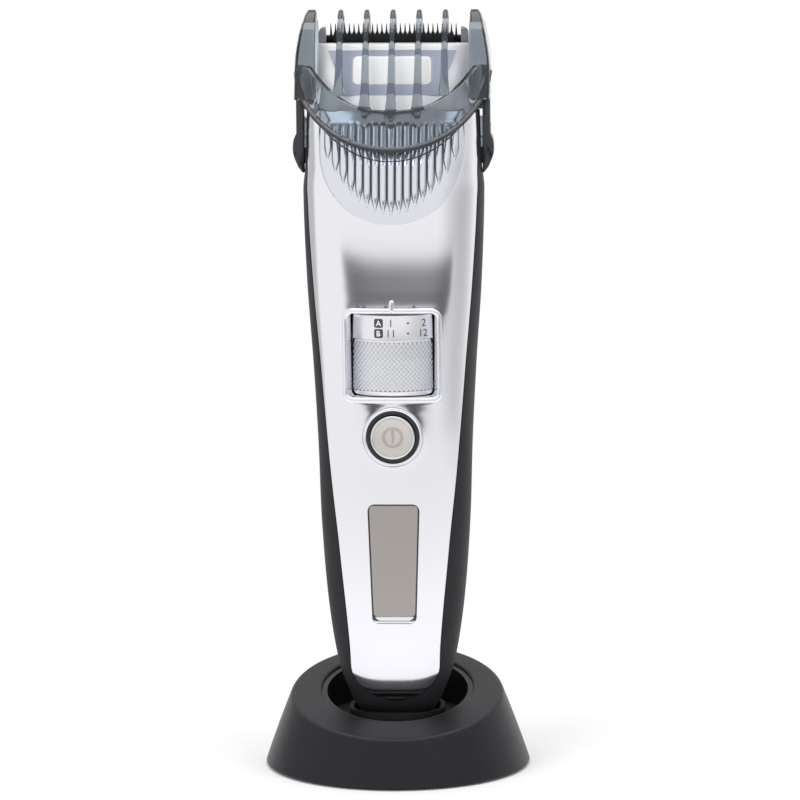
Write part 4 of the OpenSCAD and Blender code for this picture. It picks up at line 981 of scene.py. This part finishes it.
edge += [(cap - rim / 2 + rim / 2 * math.cos(math.radians(a)), button["rimLow"] + 0.28 * math.sin(math.radians(a)))
         for a in range(15, 180, 15)]
edge += [(cap - rim, 0.55), (cap - rim - 0.05, capLow)]
lathePiece("buttonEdge", edge, onButton, silverEdge, "button")


def dishHeight(r):
    return button["dishTop"] - button["dishDeep"] * (1 - (r / button["dish"]) ** 2) ** 0.8


dish = [(0.02, capLow), (button["dish"] + 0.1, capLow), (button["dish"] + 0.16, 0.42),
        (button["dish"] + 0.05, button["dishTop"])]
dish += [(r + 0.02, dishHeight(r)) for r in (button["dish"] * (1 - k / 12) for k in range(1, 13))]
buttonCap = lathePiece("buttonCap", dish, onButton, champagne, "button", steps=120)
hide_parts("power_button")

symbol = {"outer": 2.7, "inner": 1.98, "deep": 0.13, "round": 0.12, "sunk": 0.2, "barWidth": 0.8, "barLength": 4.1,
          "barDeep": 0.26, "barUp": 0.25}
low, high = symbol["inner"], symbol["outer"]
ringProfile = [(r, dishHeight(edge) + h) for r, edge, h in (
    (low, low, -symbol["sunk"]), (high, high, -symbol["sunk"]), (high, high, 0.02),
    (high - symbol["round"], high, symbol["deep"]), (low + symbol["round"], low, symbol["deep"]), (low, low, 0.02))]
lathePiece("symbolRing", ringProfile, onButton, symbolShadeChampagne, "button")
pillPiece("symbolBar", onButton @ Matrix.Translation((0, symbol["barUp"], dishHeight(0.4))), symbol["barWidth"],
          symbol["barLength"], symbol["barDeep"], 0.15, symbolShadeChampagne, "button", tip=0.35)
print("button made")


# display
gap, lift = displayShape["gap"], displayShape["lift"]
faceHalf = displayShape["halfZ"] - gap / 2 - lift
faceCentre = displayZ + lift - gap / 2 + 0.02
displayBezel = beadPiece("displayBezel", displayLoop(0.06, 0.06, displayShape["radius"], displayZ), displayLoop(
    gap + 0.2, gap + 0.3, displayShape["radius"] - 0.2, displayZ + 0.1),
    lambda x, z: frontY(x, z, displayShape["bezelSunk"]), darkPlastic, "handle", displayShape["bezelProud"],
    displayShape["bezelDeep"])
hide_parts("display_bezel")
displayWindow = sheetPiece("displayWindow", roundedLoop(
    displayShape["top"] - gap, displayShape["bottom"] - gap + 0.05, faceHalf, displayShape["corner"], faceCentre,
    topRadius=displayShape["corner"]), [], lambda x, z: frontY(x, z, displayShape["windowSunk"]), mirrorAcrylic,
    "handle", edge=displayShape["windowEdge"], depth=displayShape["windowThick"])
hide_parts("display_window")
# hollow chrome lip under the window
lipTop = faceCentre - faceHalf - 0.04
lipLow = displayZ - displayShape["halfZ"] + 0.12
lipSteps, lipDeep = 40, displayShape["lipDeep"]
rows = []
for i in range(lipSteps + 1):
    s = -1 + 2 * i / lipSteps
    x = s * (displayShape["bottom"] - 0.35)
    raised = 0.9 * max(0, (abs(s) - 0.84) / 0.16) ** 2  # the lip's ends turn up into the corners
    section = []
    for k in range(9):
        z = lipLow + raised + (lipTop - lipLow - raised) * k / 8
        hollow = displayShape["lipProud"] * math.sin(math.pi / 2 * k / 8) ** 1.4
        section.append((x, frontY(x, z, 0.02 + hollow), z))
    section += [(x, frontY(x, lipTop, lipDeep), lipTop), (x, frontY(x, lipLow, lipDeep), lipLow + raised)]
    rows.append(section)
loftPiece("displayLip", rows, chrome, "handle", sharp=45)
print("display made")


# blade block
block = {"height": 17.3, "frontTop": 3.0, "halfLow": 20.6, "halfTop": 19.6, "lean": 28.0, "tipZ": topZ + 22.3,
         "tipY": 2.5, "fixed": 0.7, "moving": 0.8, "bladeWidth": 38.8, "channel": 17.0, "round": 0.5,
         "labelZ": topZ + 10.8, "labelWidth": 20.2, "labelHeight": 7.8, "labelRound": 1.4, "labelDeep": 0.7,
         "squareness": 0.5, "fieldLow": 12.2, "fieldHigh": 16.8, "fieldFoot": -7, "fieldTop": 1.4, "fieldDeep": 0.15}
blockTop = topZ + block["height"]


def bladeY(z):
    return block["tipY"] + (block["tipZ"] - z) * math.tan(math.radians(block["lean"]))


def blockFront(z):
    return -(front(topZ) + (block["frontTop"] - front(topZ)) * (z - topZ) / block["height"])


rings = []
for k in range(30):
    if k < 4:
        z, inset = topZ + 0.02 + 0.25 * k / 3, 0.25 * (1 - math.sin(math.radians(30 * k)))
    elif k < 22:
        z, inset = topZ + 0.27 + (block["height"] - 0.77) * (k - 3) / 18, 0
    else:
        turn = math.radians(90 * (k - 21) / 8)
        z, inset = blockTop - block["round"] * (1 - math.sin(turn)), block["round"] * (1 - math.cos(turn))
    back = bladeY(z) - block["fixed"] / math.cos(math.radians(block["lean"])) - inset * 0.3
    half = block["halfLow"] - (block["halfLow"] - block["halfTop"]) * (z - topZ) / block["height"] - inset
    ring = []
    for i in range(101):
        a = math.radians(-90 + 1.8 * i)
        deep = back - (back - blockFront(z) - inset) * signedPower(math.cos(a), block["squareness"])
        ring.append((half * signedPower(math.sin(a), block["squareness"]), deep, z))
    rings.append(ring)
bladeBlock = loftPiece("bladeBlock", rings, whiteAcetal, None, sharp=40)

# the blades' plane, with the local z axis up along it
atBlade = Matrix.Rotation(math.radians(block["lean"]), 4, "X")
atBlade.translation = Vector((0, block["tipY"], block["tipZ"]))
cutters = []
half = block["bladeWidth"] / 2 - 1.9
for low, high in (((-half, -block["fixed"] - block["moving"] - 0.15, -block["channel"]), (half, 1, 10)),
                  ((-8.5, -block["fixed"] - 5.5, -block["channel"] + 1), (8.5, 1, -7.6))):
    cutters.append(boxPiece("channelCutter", low, high, whiteAcetal, atBlade))
# room for the drive pin
cutters.append(boxPiece("pinCutter", (-3.6, -6.0, topZ - 1), (3.6, 10, topZ + 9), whiteAcetal))
blockLean = math.atan((front(topZ) - block["frontTop"]) / block["height"])
onLabel = Matrix.Rotation(math.pi / 2 - blockLean, 4, "X")
onLabel.translation = Vector((0, blockFront(block["labelZ"]), block["labelZ"]))


def plateOn(name, loop, low, high, material, body):
    # flat plate with the given outline between two heights over the label's face
    n = len(loop)
    e = min(0.12, (high - low) / 3)
    middle = Vector((sum(p[0] for p in loop) / n, sum(p[1] for p in loop) / n))
    rings = []
    for h, inset in ((low, 0), (high - e, 0), (high - 0.3 * e, 0.3 * e), (high, e)):
        ring = []
        for x, y in loop:
            out = (Vector((x, y)) - middle).normalized() * inset
            ring.append(tuple(onLabel @ Vector((x - out.x, y - out.y, h))))
        rings.append(ring)
    return loftPiece(name, rings, material, body, sharp=45)


labelHalf = block["labelWidth"] / 2
labelLoop = roundedLoop(labelHalf, labelHalf, block["labelHeight"] / 2, block["labelRound"], 0)
upper = (blockTop - block["fieldTop"] - block["labelZ"]) / math.cos(blockLean)


def fieldLoop(foot, top, share=1.0):
    low, high = block["fieldLow"], block["fieldHigh"]
    return [(x * share, y) for x, y in ((-low, foot), (low, foot), (high, top), (-high, top))]


cutters.append(plateOn("labelCutter", [(x * 1.01, y * 1.02) for x, y in labelLoop], -block["labelDeep"], 4,
                       whiteAcetal, None))
cutters.append(plateOn("fieldCutter", fieldLoop(block["fieldFoot"], upper), -block["fieldDeep"], 4, whiteAcetal,
                       None))
combine(bladeBlock, cutters, "DIFFERENCE", sharp=40)
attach(bladeBlock, "handle")
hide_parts("blade_housing")
bladeLabel = plateOn("bladeLabel", labelLoop, 0.02 - block["labelDeep"], 0.02, labelFilm, "handle")
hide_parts("label_plate")
# the printed field behind the label
printedField = plateOn("printedField", fieldLoop(block["fieldFoot"] + 0.1, upper - 0.1, 0.985), -0.3, -0.1,
                       greyPaint, None)
cutter = plateOn("fieldHole", [(x * 1.02, y * 1.04) for x, y in labelLoop], -1, 1, greyPaint, None)
combine(printedField, [cutter], "DIFFERENCE", sharp=40)
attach(printedField, "handle")
print("blade block made")


# clear comb
comb = {"out": 25.14, "in": 23.44, "wall": 1.7, "bandTop": topZ + 1.2, "bandLow": topZ - 9.3, "legTop": topZ + 12,
        "legLow": topZ - 18.6, "legHalf": 3.5, "grip": 0.85, "reach": 20.0, "lean": 0.43, "lip": 1.4, "lipProud": 0.5,
        "barLow": topZ - 8, "barTop": topZ - 2.5, "tipZ": topZ + 25.9, "tinePitch": 6.76, "tines": 5,
        "root": 2.4, "tip": 1.3, "tineDepth": 2.6, "barDepth": rear(topZ - 8) + 4.6}
up = block["tipZ"] - 4.3


def bow(s, n):
    return max(0, 1 - abs(s) ** n) ** (1 / n)


def bandReach(z):
    return comb["reach"] - comb["lean"] * (z - comb["bandLow"])


def bandEdge(x):
    return min(comb["legTop"], comb["bandTop"] + 8.3 * (abs(x) / 20) ** 2.6)


def bandFoot(x):
    drop = 1 - math.sqrt(max(0, 1 - (x / (comb["out"] + 0.16)) ** 2))
    return min(comb["legTop"] - 2, comb["bandLow"] + 21.5 * drop)


def bandPoint(s, z, inset):
    return ((comb["out"] - inset) * s, -(bandReach(z) - inset) * bow(s, 3), z)


def bandSections(section, low=-90, high=90, count=110):
    rings = []
    for i in range(count + 1):
        s = math.sin(math.radians(low + (high - low) * i / count))
        rings.append([bandPoint(s, z, inset) for inset, z in section(comb["out"] * s)])
    return rings


def bandSection(x):
    low, top = bandFoot(x), bandEdge(x)
    lip = min(comb["lip"], (top - low) / 3)
    w, p = comb["wall"], comb["lipProud"]
    return [(w, low + 0.3), (w, top - 0.3), (w - 0.09, top - 0.09), (w - 0.3, top), (0.3, top), (0.09, top - 0.09),
            (0, top - 0.3), (0, low + lip + 0.15), (-p * 0.35, low + lip * 0.95), (-p * 0.85, low + lip * 0.75),
            (-p, low + lip * 0.5), (-p * 0.85, low + lip * 0.25), (-p * 0.35, low + 0.05), (0.2, low), (w - 0.3, low),
            (w - 0.09, low + 0.09)]


def skirtSection(x):
    low = bandFoot(x) - 2.3 * max(0, 1 - (abs(x) / 22) ** 2)
    top = bandFoot(x) + 0.5
    return [(1.5, low + 0.1), (1.5, top), (0.6, top), (0.6, low + 0.1), (0.75, low), (1.35, low)]


def shelfSection(x):
    top = bandEdge(x) - 0.25
    deep = 3.4 * max(0.5, 1 - (abs(x) / 16) ** 4)
    return [(1.2, top - 0.9), (deep - 0.2, top - 0.9), (deep, top - 0.7), (deep, top - 0.2), (deep - 0.2, top),
            (1.2, top)]


combBody = loftPiece("clearComb", bandSections(bandSection), smoke, None, sharp=40)
parts = [loftPiece("combSkirt", bandSections(skirtSection, -60, 60, 80), smoke, None)]
# where the light runs through the length of a rim, the plastic looks dark; here that is partly the tint and partly
# painted shade and dark reflection, in an opaque dark smoke
darkPieces = [loftPiece("combShelf", bandSections(shelfSection, -21, 21, 40), paintedDarkSmoke, None)]


def rimSection(x):
    low = bandFoot(x)
    return [(0.16 - 0.76 * math.cos(a), low + 0.66 + 0.74 * math.sin(a)) for a in (math.pi * k / 8 for k in range(16))]


# the rim as opaque dark smoke: partly tint, partly painted shade and dark reflection
darkPieces.append(loftPiece("combRim", bandSections(rimSection, -80, 80, 110), paintedDarkSmoke, None))
# rear bar
rings = []
for k in range(9):
    turn = math.radians(180 * k / 8)
    z = (comb["barLow"] + comb["barTop"]) / 2 - ((comb["barTop"] - comb["barLow"]) / 2) * math.cos(turn)
    inset = 0.35 * (1 - math.sin(turn)) if k in (0, 8) else (0.1 if k in (1, 7) else 0)
    outer, inner = [], []
    for i in range(61):
        a = math.radians(90 + 3 * i)
        s, c = signedPower(math.sin(a), 0.5), -signedPower(math.cos(a), 0.5)
        outer.append(((comb["out"] - inset) * s, (comb["barDepth"] - inset) * c, z))
        inner.append(((comb["in"] + inset) * s, (comb["barDepth"] - comb["wall"] - 1 + inset) * c, z))
    rings.append(outer + inner[::-1])
parts.append(loftPiece("combBar", rings, smoke, None))


def slabPiece(name, outline, low, high, place, material, body, edge=0.3):
    # flat solid with a given outline and rounded rims; place turns (u, v, w) into a point
    n = len(outline)
    turns = []
    for i in range(n):
        a, b, c = Vector(outline[i - 1]), Vector(outline[i]), Vector(outline[(i + 1) % n])
        d1, d2 = (b - a).normalized(), (c - b).normalized()
        bisector = Vector((-(d1.y + d2.y), d1.x + d2.x))
        if bisector.length < 1e-6:
            bisector = Vector((-d1.y, d1.x))
        bisector.normalize()
        turns.append(bisector / max(0.5, bisector.dot(Vector((-d1.y, d1.x)))))
    rings = []
    for w, inset in ((low, edge), (low + 0.3 * edge, 0.3 * edge), (low + edge, 0), (high - edge, 0),
                     (high - 0.3 * edge, 0.3 * edge), (high, edge)):
        rings.append([place(u + t.x * inset, v + t.y * inset, w) for (u, v), t in zip(outline, turns)])
    return loftPiece(name, rings, material, body)


tab = topZ - 13.5
gripLow, gripOut = comb["legLow"] + 2.8, comb["out"] + comb["grip"]
gripIn = comb["in"] - 0.36
gripShape = [(gripIn, gripLow), (gripIn + 0.4, gripLow)]
gripShape += [(p.x, p.y) for p in smoothLine([
    (comb["out"] - 0.5, gripLow + 1.5, 0), (gripOut - 0.2, gripLow + 4.4, 0), (gripOut, gripLow + 6.6, 0),
    (gripOut - 0.25, gripLow + 8.6, 0), (comb["out"] - 0.1, gripLow + 10.2, 0)], 16)]
gripShape += [(comb["out"] - 0.1, comb["legTop"] - 4), (comb["in"] - 0.1, comb["legTop"] - 4),
              (comb["in"] - 0.1, topZ + 6), (21.2, topZ + 4), (21.2, topZ + 0.7), (gripIn, topZ + 0.6)]
# the grips as opaque dark smoke: partly the tint of thick plastic, partly painted shade
for side in (-1, 1):
    darkPieces.append(slabPiece("combLeg", gripShape, -comb["legHalf"], comb["legHalf"],
                                lambda u, v, w: (side * u, w, v), paintedDarkSmoke, None))
    parts.append(boxPiece("combLug", (side * 21.0, -2.0, tab + 4.2), (side * (comb["in"] + 0.1), 2.0, tab + 7.0),
                          smoke))


def tineArch(x):
    foot = bandEdge((abs(x) + comb["root"] / 2) * comb["out"] / comb["in"]) + 0.15
    b = 1 - bow(x / comb["out"], 4)

    def footY(inset):
        return -(bandReach(foot) - inset) * bow(x / comb["out"], 3)
    tip, bar, barY = comb["tipZ"], comb["barTop"], comb["barDepth"] * (1 - b)
    outer = [(footY(0) + 0.1, foot - 1.2), (footY(0) + 0.15, foot + 0.6), (-6.6, up), (-4.8, up + 3),
             (-2.4, tip - 2.4), (0, tip - 0.5), (2.2, tip), (4.4, tip - 0.6), (6.6, tip - 2.3), (9.2, up + 1.6),
             (bladeY(up - 7) + 4.8, up - 7), (bladeY(up - 14) + 5.2 - b * 8, up - 14),
             (barY - 0.1, bar), (barY - 0.1, bar - 1.2)]
    inner = [(footY(comb["tineDepth"]), foot - 1.2), (footY(comb["tineDepth"]), foot + 0.3), (-4.1, up),
             (-2.2, up + 3.4), (0.2, tip - 2.1), (1.3, tip - 1.8), (2.4, tip - 1.7), (4.4, tip - 2.9),
             (5.6, tip - 4.6), (6.6, up + 1), (bladeY(up - 7) + 2, up - 7),
             (bladeY(up - 14) + 2.2 - b * 8, up - 14), (barY - comb["wall"] - 0.9, bar),
             (barY - comb["wall"] - 0.9, bar - 1.2)]
    return outer, inner


def tineWidth(z, foot):
    share = min(1, max(0, (z - comb["bandTop"]) / (comb["tipZ"] - comb["bandTop"])))
    flare = 0.45 * math.exp(-max(0, z - foot) / 1.3)
    return (comb["root"] + (comb["tip"] - comb["root"]) * share) / 2 + flare


for t in range(comb["tines"]):
    x = (t - (comb["tines"] - 1) / 2) * comb["tinePitch"]
    outer, inner = tineArch(x)
    rings = []
    for o, i in zip(*(spread(line, 7, lambda ends: ends[0], lambda ends: ends[-1]) for line in (outer, inner))):
        middle, reach = (o + i) / 2, (o - i) / 2
        foot = outer[1][1] - 0.6 if middle.x < 2 else comb["barTop"] + 0.3
        half = tineWidth(middle.y, foot)
        ring = []
        for k in range(24):
            a = 2 * math.pi * k / 24
            across, along = half * signedPower(math.cos(a), 0.85), signedPower(math.sin(a), 0.85)
            ring.append((x + across, middle.x + reach.x * along, middle.y + reach.y * along))
        rings.append(ring)
    parts.append(loftPiece("combTine", rings, smoke, None))
    # painted dark reflection: the tine tips are capped with opaque dark smoke
    capRings = []
    for ring in rings:
        centre = sum((Vector(p) for p in ring), Vector()) / len(ring)
        if centre.z > comb["tipZ"] - 2.1 and centre.y < 5:
            capRings.append([tuple(centre + (Vector(p) - centre) * 1.06) for p in ring])
    darkPieces.append(loftPiece("tineCap", capRings, paintedDarkSmoke, None))

# outer tines: hollow columns with a front strip, an outer web, a rear strip and a solid cap, flaring down into the band
column = {"low": 175.5, "front": 2.2, "web": 0.9, "cap": 3.0}
frontLineZ = [(175.5, -9.8), (180, -7.8), (184, -6.6), (up, -6.3), (up + 3, -4.9), (comb["tipZ"] - 2.4, -2.5),
              (comb["tipZ"] - 0.6, 0.0), (comb["tipZ"], 1.4)]
rearLineZ = [(175.5, 5.2), (180, 6.2), (184, 7.0), (up - 1, 9.5), (up + 1.6, 9.1), (comb["tipZ"] - 2.3, 6.5),
             (comb["tipZ"] - 0.6, 4.2), (comb["tipZ"], 2.8)]
innerLineZ = [(175.5, 19.2), (180, 19.7), (184, 19.8), (188, 19.8), (comb["tipZ"] - 1, 19.8), (comb["tipZ"], 20.1)]
outerLineZ = [(175.5, 25.1), (185, 25.0), (190, 24.35), (194, 23.5), (comb["tipZ"] - 1.2, 22.7), (comb["tipZ"], 21.9)]


def columnPart(side, low, high, web, front, rear, material):
    # web, front and rear give how much of the full section this part takes, in millimetres, or None for all of it
    rings = []
    for k in range(41):
        z = low + (high - low) * (1 - (1 - k / 40) ** 1.5)
        y0, y1 = curveAt(frontLineZ, z), curveAt(rearLineZ, z)
        x0, x1 = curveAt(innerLineZ, z), curveAt(outerLineZ, z)
        if web:
            x0, x1 = max(x0, x1 - web), x1 - 0.02
        if front:
            y1 = min(y1, y0 + front)
        if rear:
            y0 = max(y0, y1 - rear)
        ring = []
        for j in range(40):
            a = 2 * math.pi * j / 40
            ring.append((side * ((x0 + x1) / 2 + (x1 - x0) / 2 * signedPower(math.cos(a), 0.45)),
                         (y0 + y1) / 2 + (y1 - y0) / 2 * signedPower(math.sin(a), 0.45), z))
        rings.append(ring)
    return loftPiece("outerTine", rings, material, None)


for side in (-1, 1):
    low, high = column["low"], comb["tipZ"] - column["cap"]
    parts += [columnPart(side, low, high, column["web"], None, None, smoke),
              columnPart(side, low, high, None, column["front"], None, smoke),
              columnPart(side, low + 0.4, high, None, None, 1.2, smoke)]
    # painted dark reflection: the column caps are opaque dark smoke
    darkPieces.append(columnPart(side, high - 0.02, comb["tipZ"], None, None, None, paintedDarkSmoke))
combine(combBody, parts, "UNION", sharp=35)
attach(combBody, "comb")
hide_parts("comb_frame", "comb_tines")
for piece in darkPieces:
    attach(piece, "comb")
print("comb made:", len(combBody.data.polygons), "faces")

# moving blade
# depths below the blades' tip; the teeth are cut through the whole thickness
movingBlade = {"half": 16.0, "low": -14.0, "tooth": 0.95, "back": 1.55, "pitch": 1.2, "count": 26, "root": 1.05,
               "tip": 0.35, "gap": 0.06, "edge": 0.04}
root, tip = movingBlade["root"] / 2, movingBlade["tip"] / 2
rootLine = -movingBlade["back"] - movingBlade["tooth"]
outline = [(-movingBlade["half"], movingBlade["low"]), (movingBlade["half"], movingBlade["low"])]
for k in reversed(range(movingBlade["count"])):
    x = (k - (movingBlade["count"] - 1) / 2) * movingBlade["pitch"]
    outline += [(x + root, rootLine), (x + tip, -movingBlade["back"]), (x - tip, -movingBlade["back"]),
                (x - root, rootLine)]
cutterPlate = slabPiece("cutterPlate", outline, block["fixed"] + movingBlade["gap"],
                        block["fixed"] + 0.05 + block["moving"],
                        lambda u, v, w: tuple(atBlade @ Vector((u, -w, v))), coatedSteel, None, movingBlade["edge"])
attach(cutterPlate, "cutter")
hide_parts("moving_blade")
print("moving blade made")


# finishes of the parts carried over from the solids
finishes = (
    (cupShadeAbs, ("stand_cup", "stand_base_plate")),
    (sealRubber, ("stand_feet", "head_seal")),
    (goldPlate, ("stand_contacts", "stand_socket_contact", "charge_terminals")),
    (boardGreen, ("stand_circuit", "circuit_board")),
    (darkPlastic, ("stand_socket", "comb_carriage")),
    (greyPlastic, ("inner_frame", "head_frame")),
    (acetalWhite, ("dial_hub", "cam_sleeve", "blade_yoke")),
    (zincSteel, ("stand_screws", "housing_screws", "tact_switch", "battery_tabs", "motor_frame", "motor_springs",
                 "motor_armature", "drive_pin", "cam_follower", "blade_spring")),
    (lampWhite, ("status_lamps",)), (cellWrap, ("battery",)), (copperWire, ("motor_coil",)),
    (coatedSteel, ("fixed_blade", "moving_blade")), (guardGrey, ("blade_guards",)),
)
for material, nodes in finishes:
    for name in nodes:
        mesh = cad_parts[name].data
        mesh.materials.clear()
        mesh.materials.append(material)
print("finishes given")


# floor, light and camera
def directRays(tree):
    # 1 for rays that come from the camera, through clear plastic or off a glossy face, and 0 for the rest
    path = addNode(tree, "ShaderNodeLightPath")
    direct = path.outputs["Is Camera Ray"]
    for kind in ("Is Transmission Ray", "Is Glossy Ray"):
        direct = addNode(tree, "ShaderNodeMath", {0: direct, 1: path.outputs[kind]}, operation="MAXIMUM").outputs[0]
    return direct


# matt white table: near the object it takes light and shadow, and it fades to plain white at its rim
table = {"radius": 400, "thick": 12, "fadeFrom": 0.06, "fadeTo": 0.3}
tableWhite, tableTree, tableShader, tablePlace = startMaterial("whiteTable", Roughness=0.7)
tableShader.inputs["Base Color"].default_value = hexColour("fbfbfc")
spot = addNode(tableTree, "ShaderNodeVectorMath", {0: tablePlace}, operation="LENGTH")
fade = addNode(tableTree, "ShaderNodeMapRange", {
    "Value": spot.outputs["Value"], "From Min": table["fadeFrom"], "From Max": table["fadeTo"]},
    interpolation_type="SMOOTHSTEP")
whiteShare = addNode(tableTree, "ShaderNodeMath", {0: fade.outputs["Result"], 1: directRays(tableTree)},
                     operation="MULTIPLY")
glow = addNode(tableTree, "ShaderNodeEmission", {"Color": (1, 1, 1, 1), "Strength": 1.0})
mixed = addNode(tableTree, "ShaderNodeMixShader", {
    0: whiteShare.outputs[0], 1: tableShader.outputs["BSDF"], 2: glow.outputs[0]})
tableTree.links.new(mixed.outputs[0], tableTree.get_output_node("ALL").inputs["Surface"])
low, rim = -table["thick"], table["radius"]
floor = lathePiece("table", [(0.5, low), (rim, low), (rim, 0), (0.5, 0)], (0, 0), tableWhite, None, steps=120)
# dark cloths round the set, seen only in reflections, each thinning out towards its edges
cloths = {
    "frontCloth": {"centre": (220, -1000, -58), "half": (1000, 62), "turn": 0, "lean": 2.2, "dense": 1.0,
                   "soft": 0.36},
    "rightCloth": {"centre": (1300, -560, 60), "half": (1500, 900), "turn": 67, "lean": 0, "dense": 0.24,
                   "soft": 0.95},
    "leftCloth": {"centre": (-1310, 640, 100), "half": (760, 640), "turn": -116, "lean": 0, "dense": 0.25,
                  "soft": 0.5},
}
for name, numbers in cloths.items():
    placed = Matrix.Rotation(math.radians(numbers["turn"]), 4, "Z") @ Matrix.Rotation(
        math.radians(numbers["lean"]), 4, "Y")
    placed.translation = Vector(numbers["centre"])
    half = numbers["half"]
    cloth, clothTree, clothShader, clothPlace = startMaterial(name, Roughness=0.9)
    varied(clothTree, clothShader, clothPlace, "Base Color", "2b2d36", "32343d", 400)
    across = addNode(clothTree, "ShaderNodeMapping", {
        "Vector": clothPlace, "Location": [c / 1000 for c in numbers["centre"]], "Rotation": placed.to_euler(),
        "Scale": (half[0] / 1000, 1, half[1] / 1000)}, vector_type="TEXTURE")
    fade = addNode(clothTree, "ShaderNodeTexGradient", {"Vector": across.outputs["Vector"]}, gradient_type="SPHERICAL")
    thin = addNode(clothTree, "ShaderNodeMapRange", {
        "Value": fade.outputs["Fac"], "From Max": numbers["soft"], "To Max": numbers["dense"]},
        interpolation_type="SMOOTHSTEP")
    clothTree.links.new(thin.outputs["Result"], clothShader.inputs["Alpha"])
    card = boxPiece(name, (-half[0], -1, -half[1]), (half[0], 1, half[1]), cloth, placed)
    card.visible_camera = False
    card.visible_transmission = name != "frontCloth"
    card.visible_diffuse = False
    card.visible_shadow = False

world = bpy.data.worlds.new("studio")
bpy.context.scene.world = world
world.use_nodes = True
tree = world.node_tree
tree.nodes.clear()
strength = addNode(tree, "ShaderNodeMapRange", {"Value": directRays(tree), "To Min": 0.5, "To Max": 1.0})
background = addNode(tree, "ShaderNodeBackground", {"Color": (1, 1, 1, 1), "Strength": strength.outputs["Result"]})
addNode(tree, "ShaderNodeOutputWorld", {"Surface": background.outputs[0]})

# soft boxes; the two at the sides stay out of reflections
lamps = {"keyLeft": {"place": (-0.9, -0.9, 0.75), "size": (0.9, 1.1), "power": 9, "mirrored": False},
         "fillRight": {"place": (1.0, -0.7, 0.5), "size": (0.8, 1.1), "power": 6, "mirrored": False},
         "topLight": {"place": (0, 0.1, 1.3), "size": (1.2, 1.0), "power": 9, "mirrored": True}}
for name, box in lamps.items():
    lamp = bpy.data.lights.new(name, "AREA")
    lamp.shape = "RECTANGLE"
    lamp.size, lamp.size_y = box["size"]
    lamp.energy = box["power"]
    holder = bpy.data.objects.new(name, lamp)
    bpy.context.scene.collection.objects.link(holder)
    holder.location = box["place"]
    toObject = Vector((0, 0, 0.1)) - Vector(box["place"])
    holder.rotation_euler = toObject.to_track_quat("-Z", "Y").to_euler()
    holder.visible_glossy = box["mirrored"]

view = {"lens": 196.98, "sensor": 36, "turn": 2.8, "reach": 1.13, "aside": 0.00115, "height": 0.263, "down": 8.39,
        "roll": -0.4}
camera = bpy.data.cameras.new("camera")
camera.lens, camera.sensor_width = view["lens"], view["sensor"]
holder = bpy.data.objects.new("camera", camera)
bpy.context.scene.collection.objects.link(holder)
turn = math.radians(view["turn"])
holder.location = (view["reach"] * math.sin(turn) + view["aside"], -view["reach"] * math.cos(turn), view["height"])
tilt = Matrix.Rotation(turn, 4, "Z") @ Matrix.Rotation(math.radians(90 - view["down"]), 4, "X") @ Matrix.Rotation(
    math.radians(view["roll"]), 4, "Z")
holder.rotation_euler = tilt.to_euler()
bpy.context.scene.camera = holder
bpy.context.scene.view_settings.view_transform = "Standard"
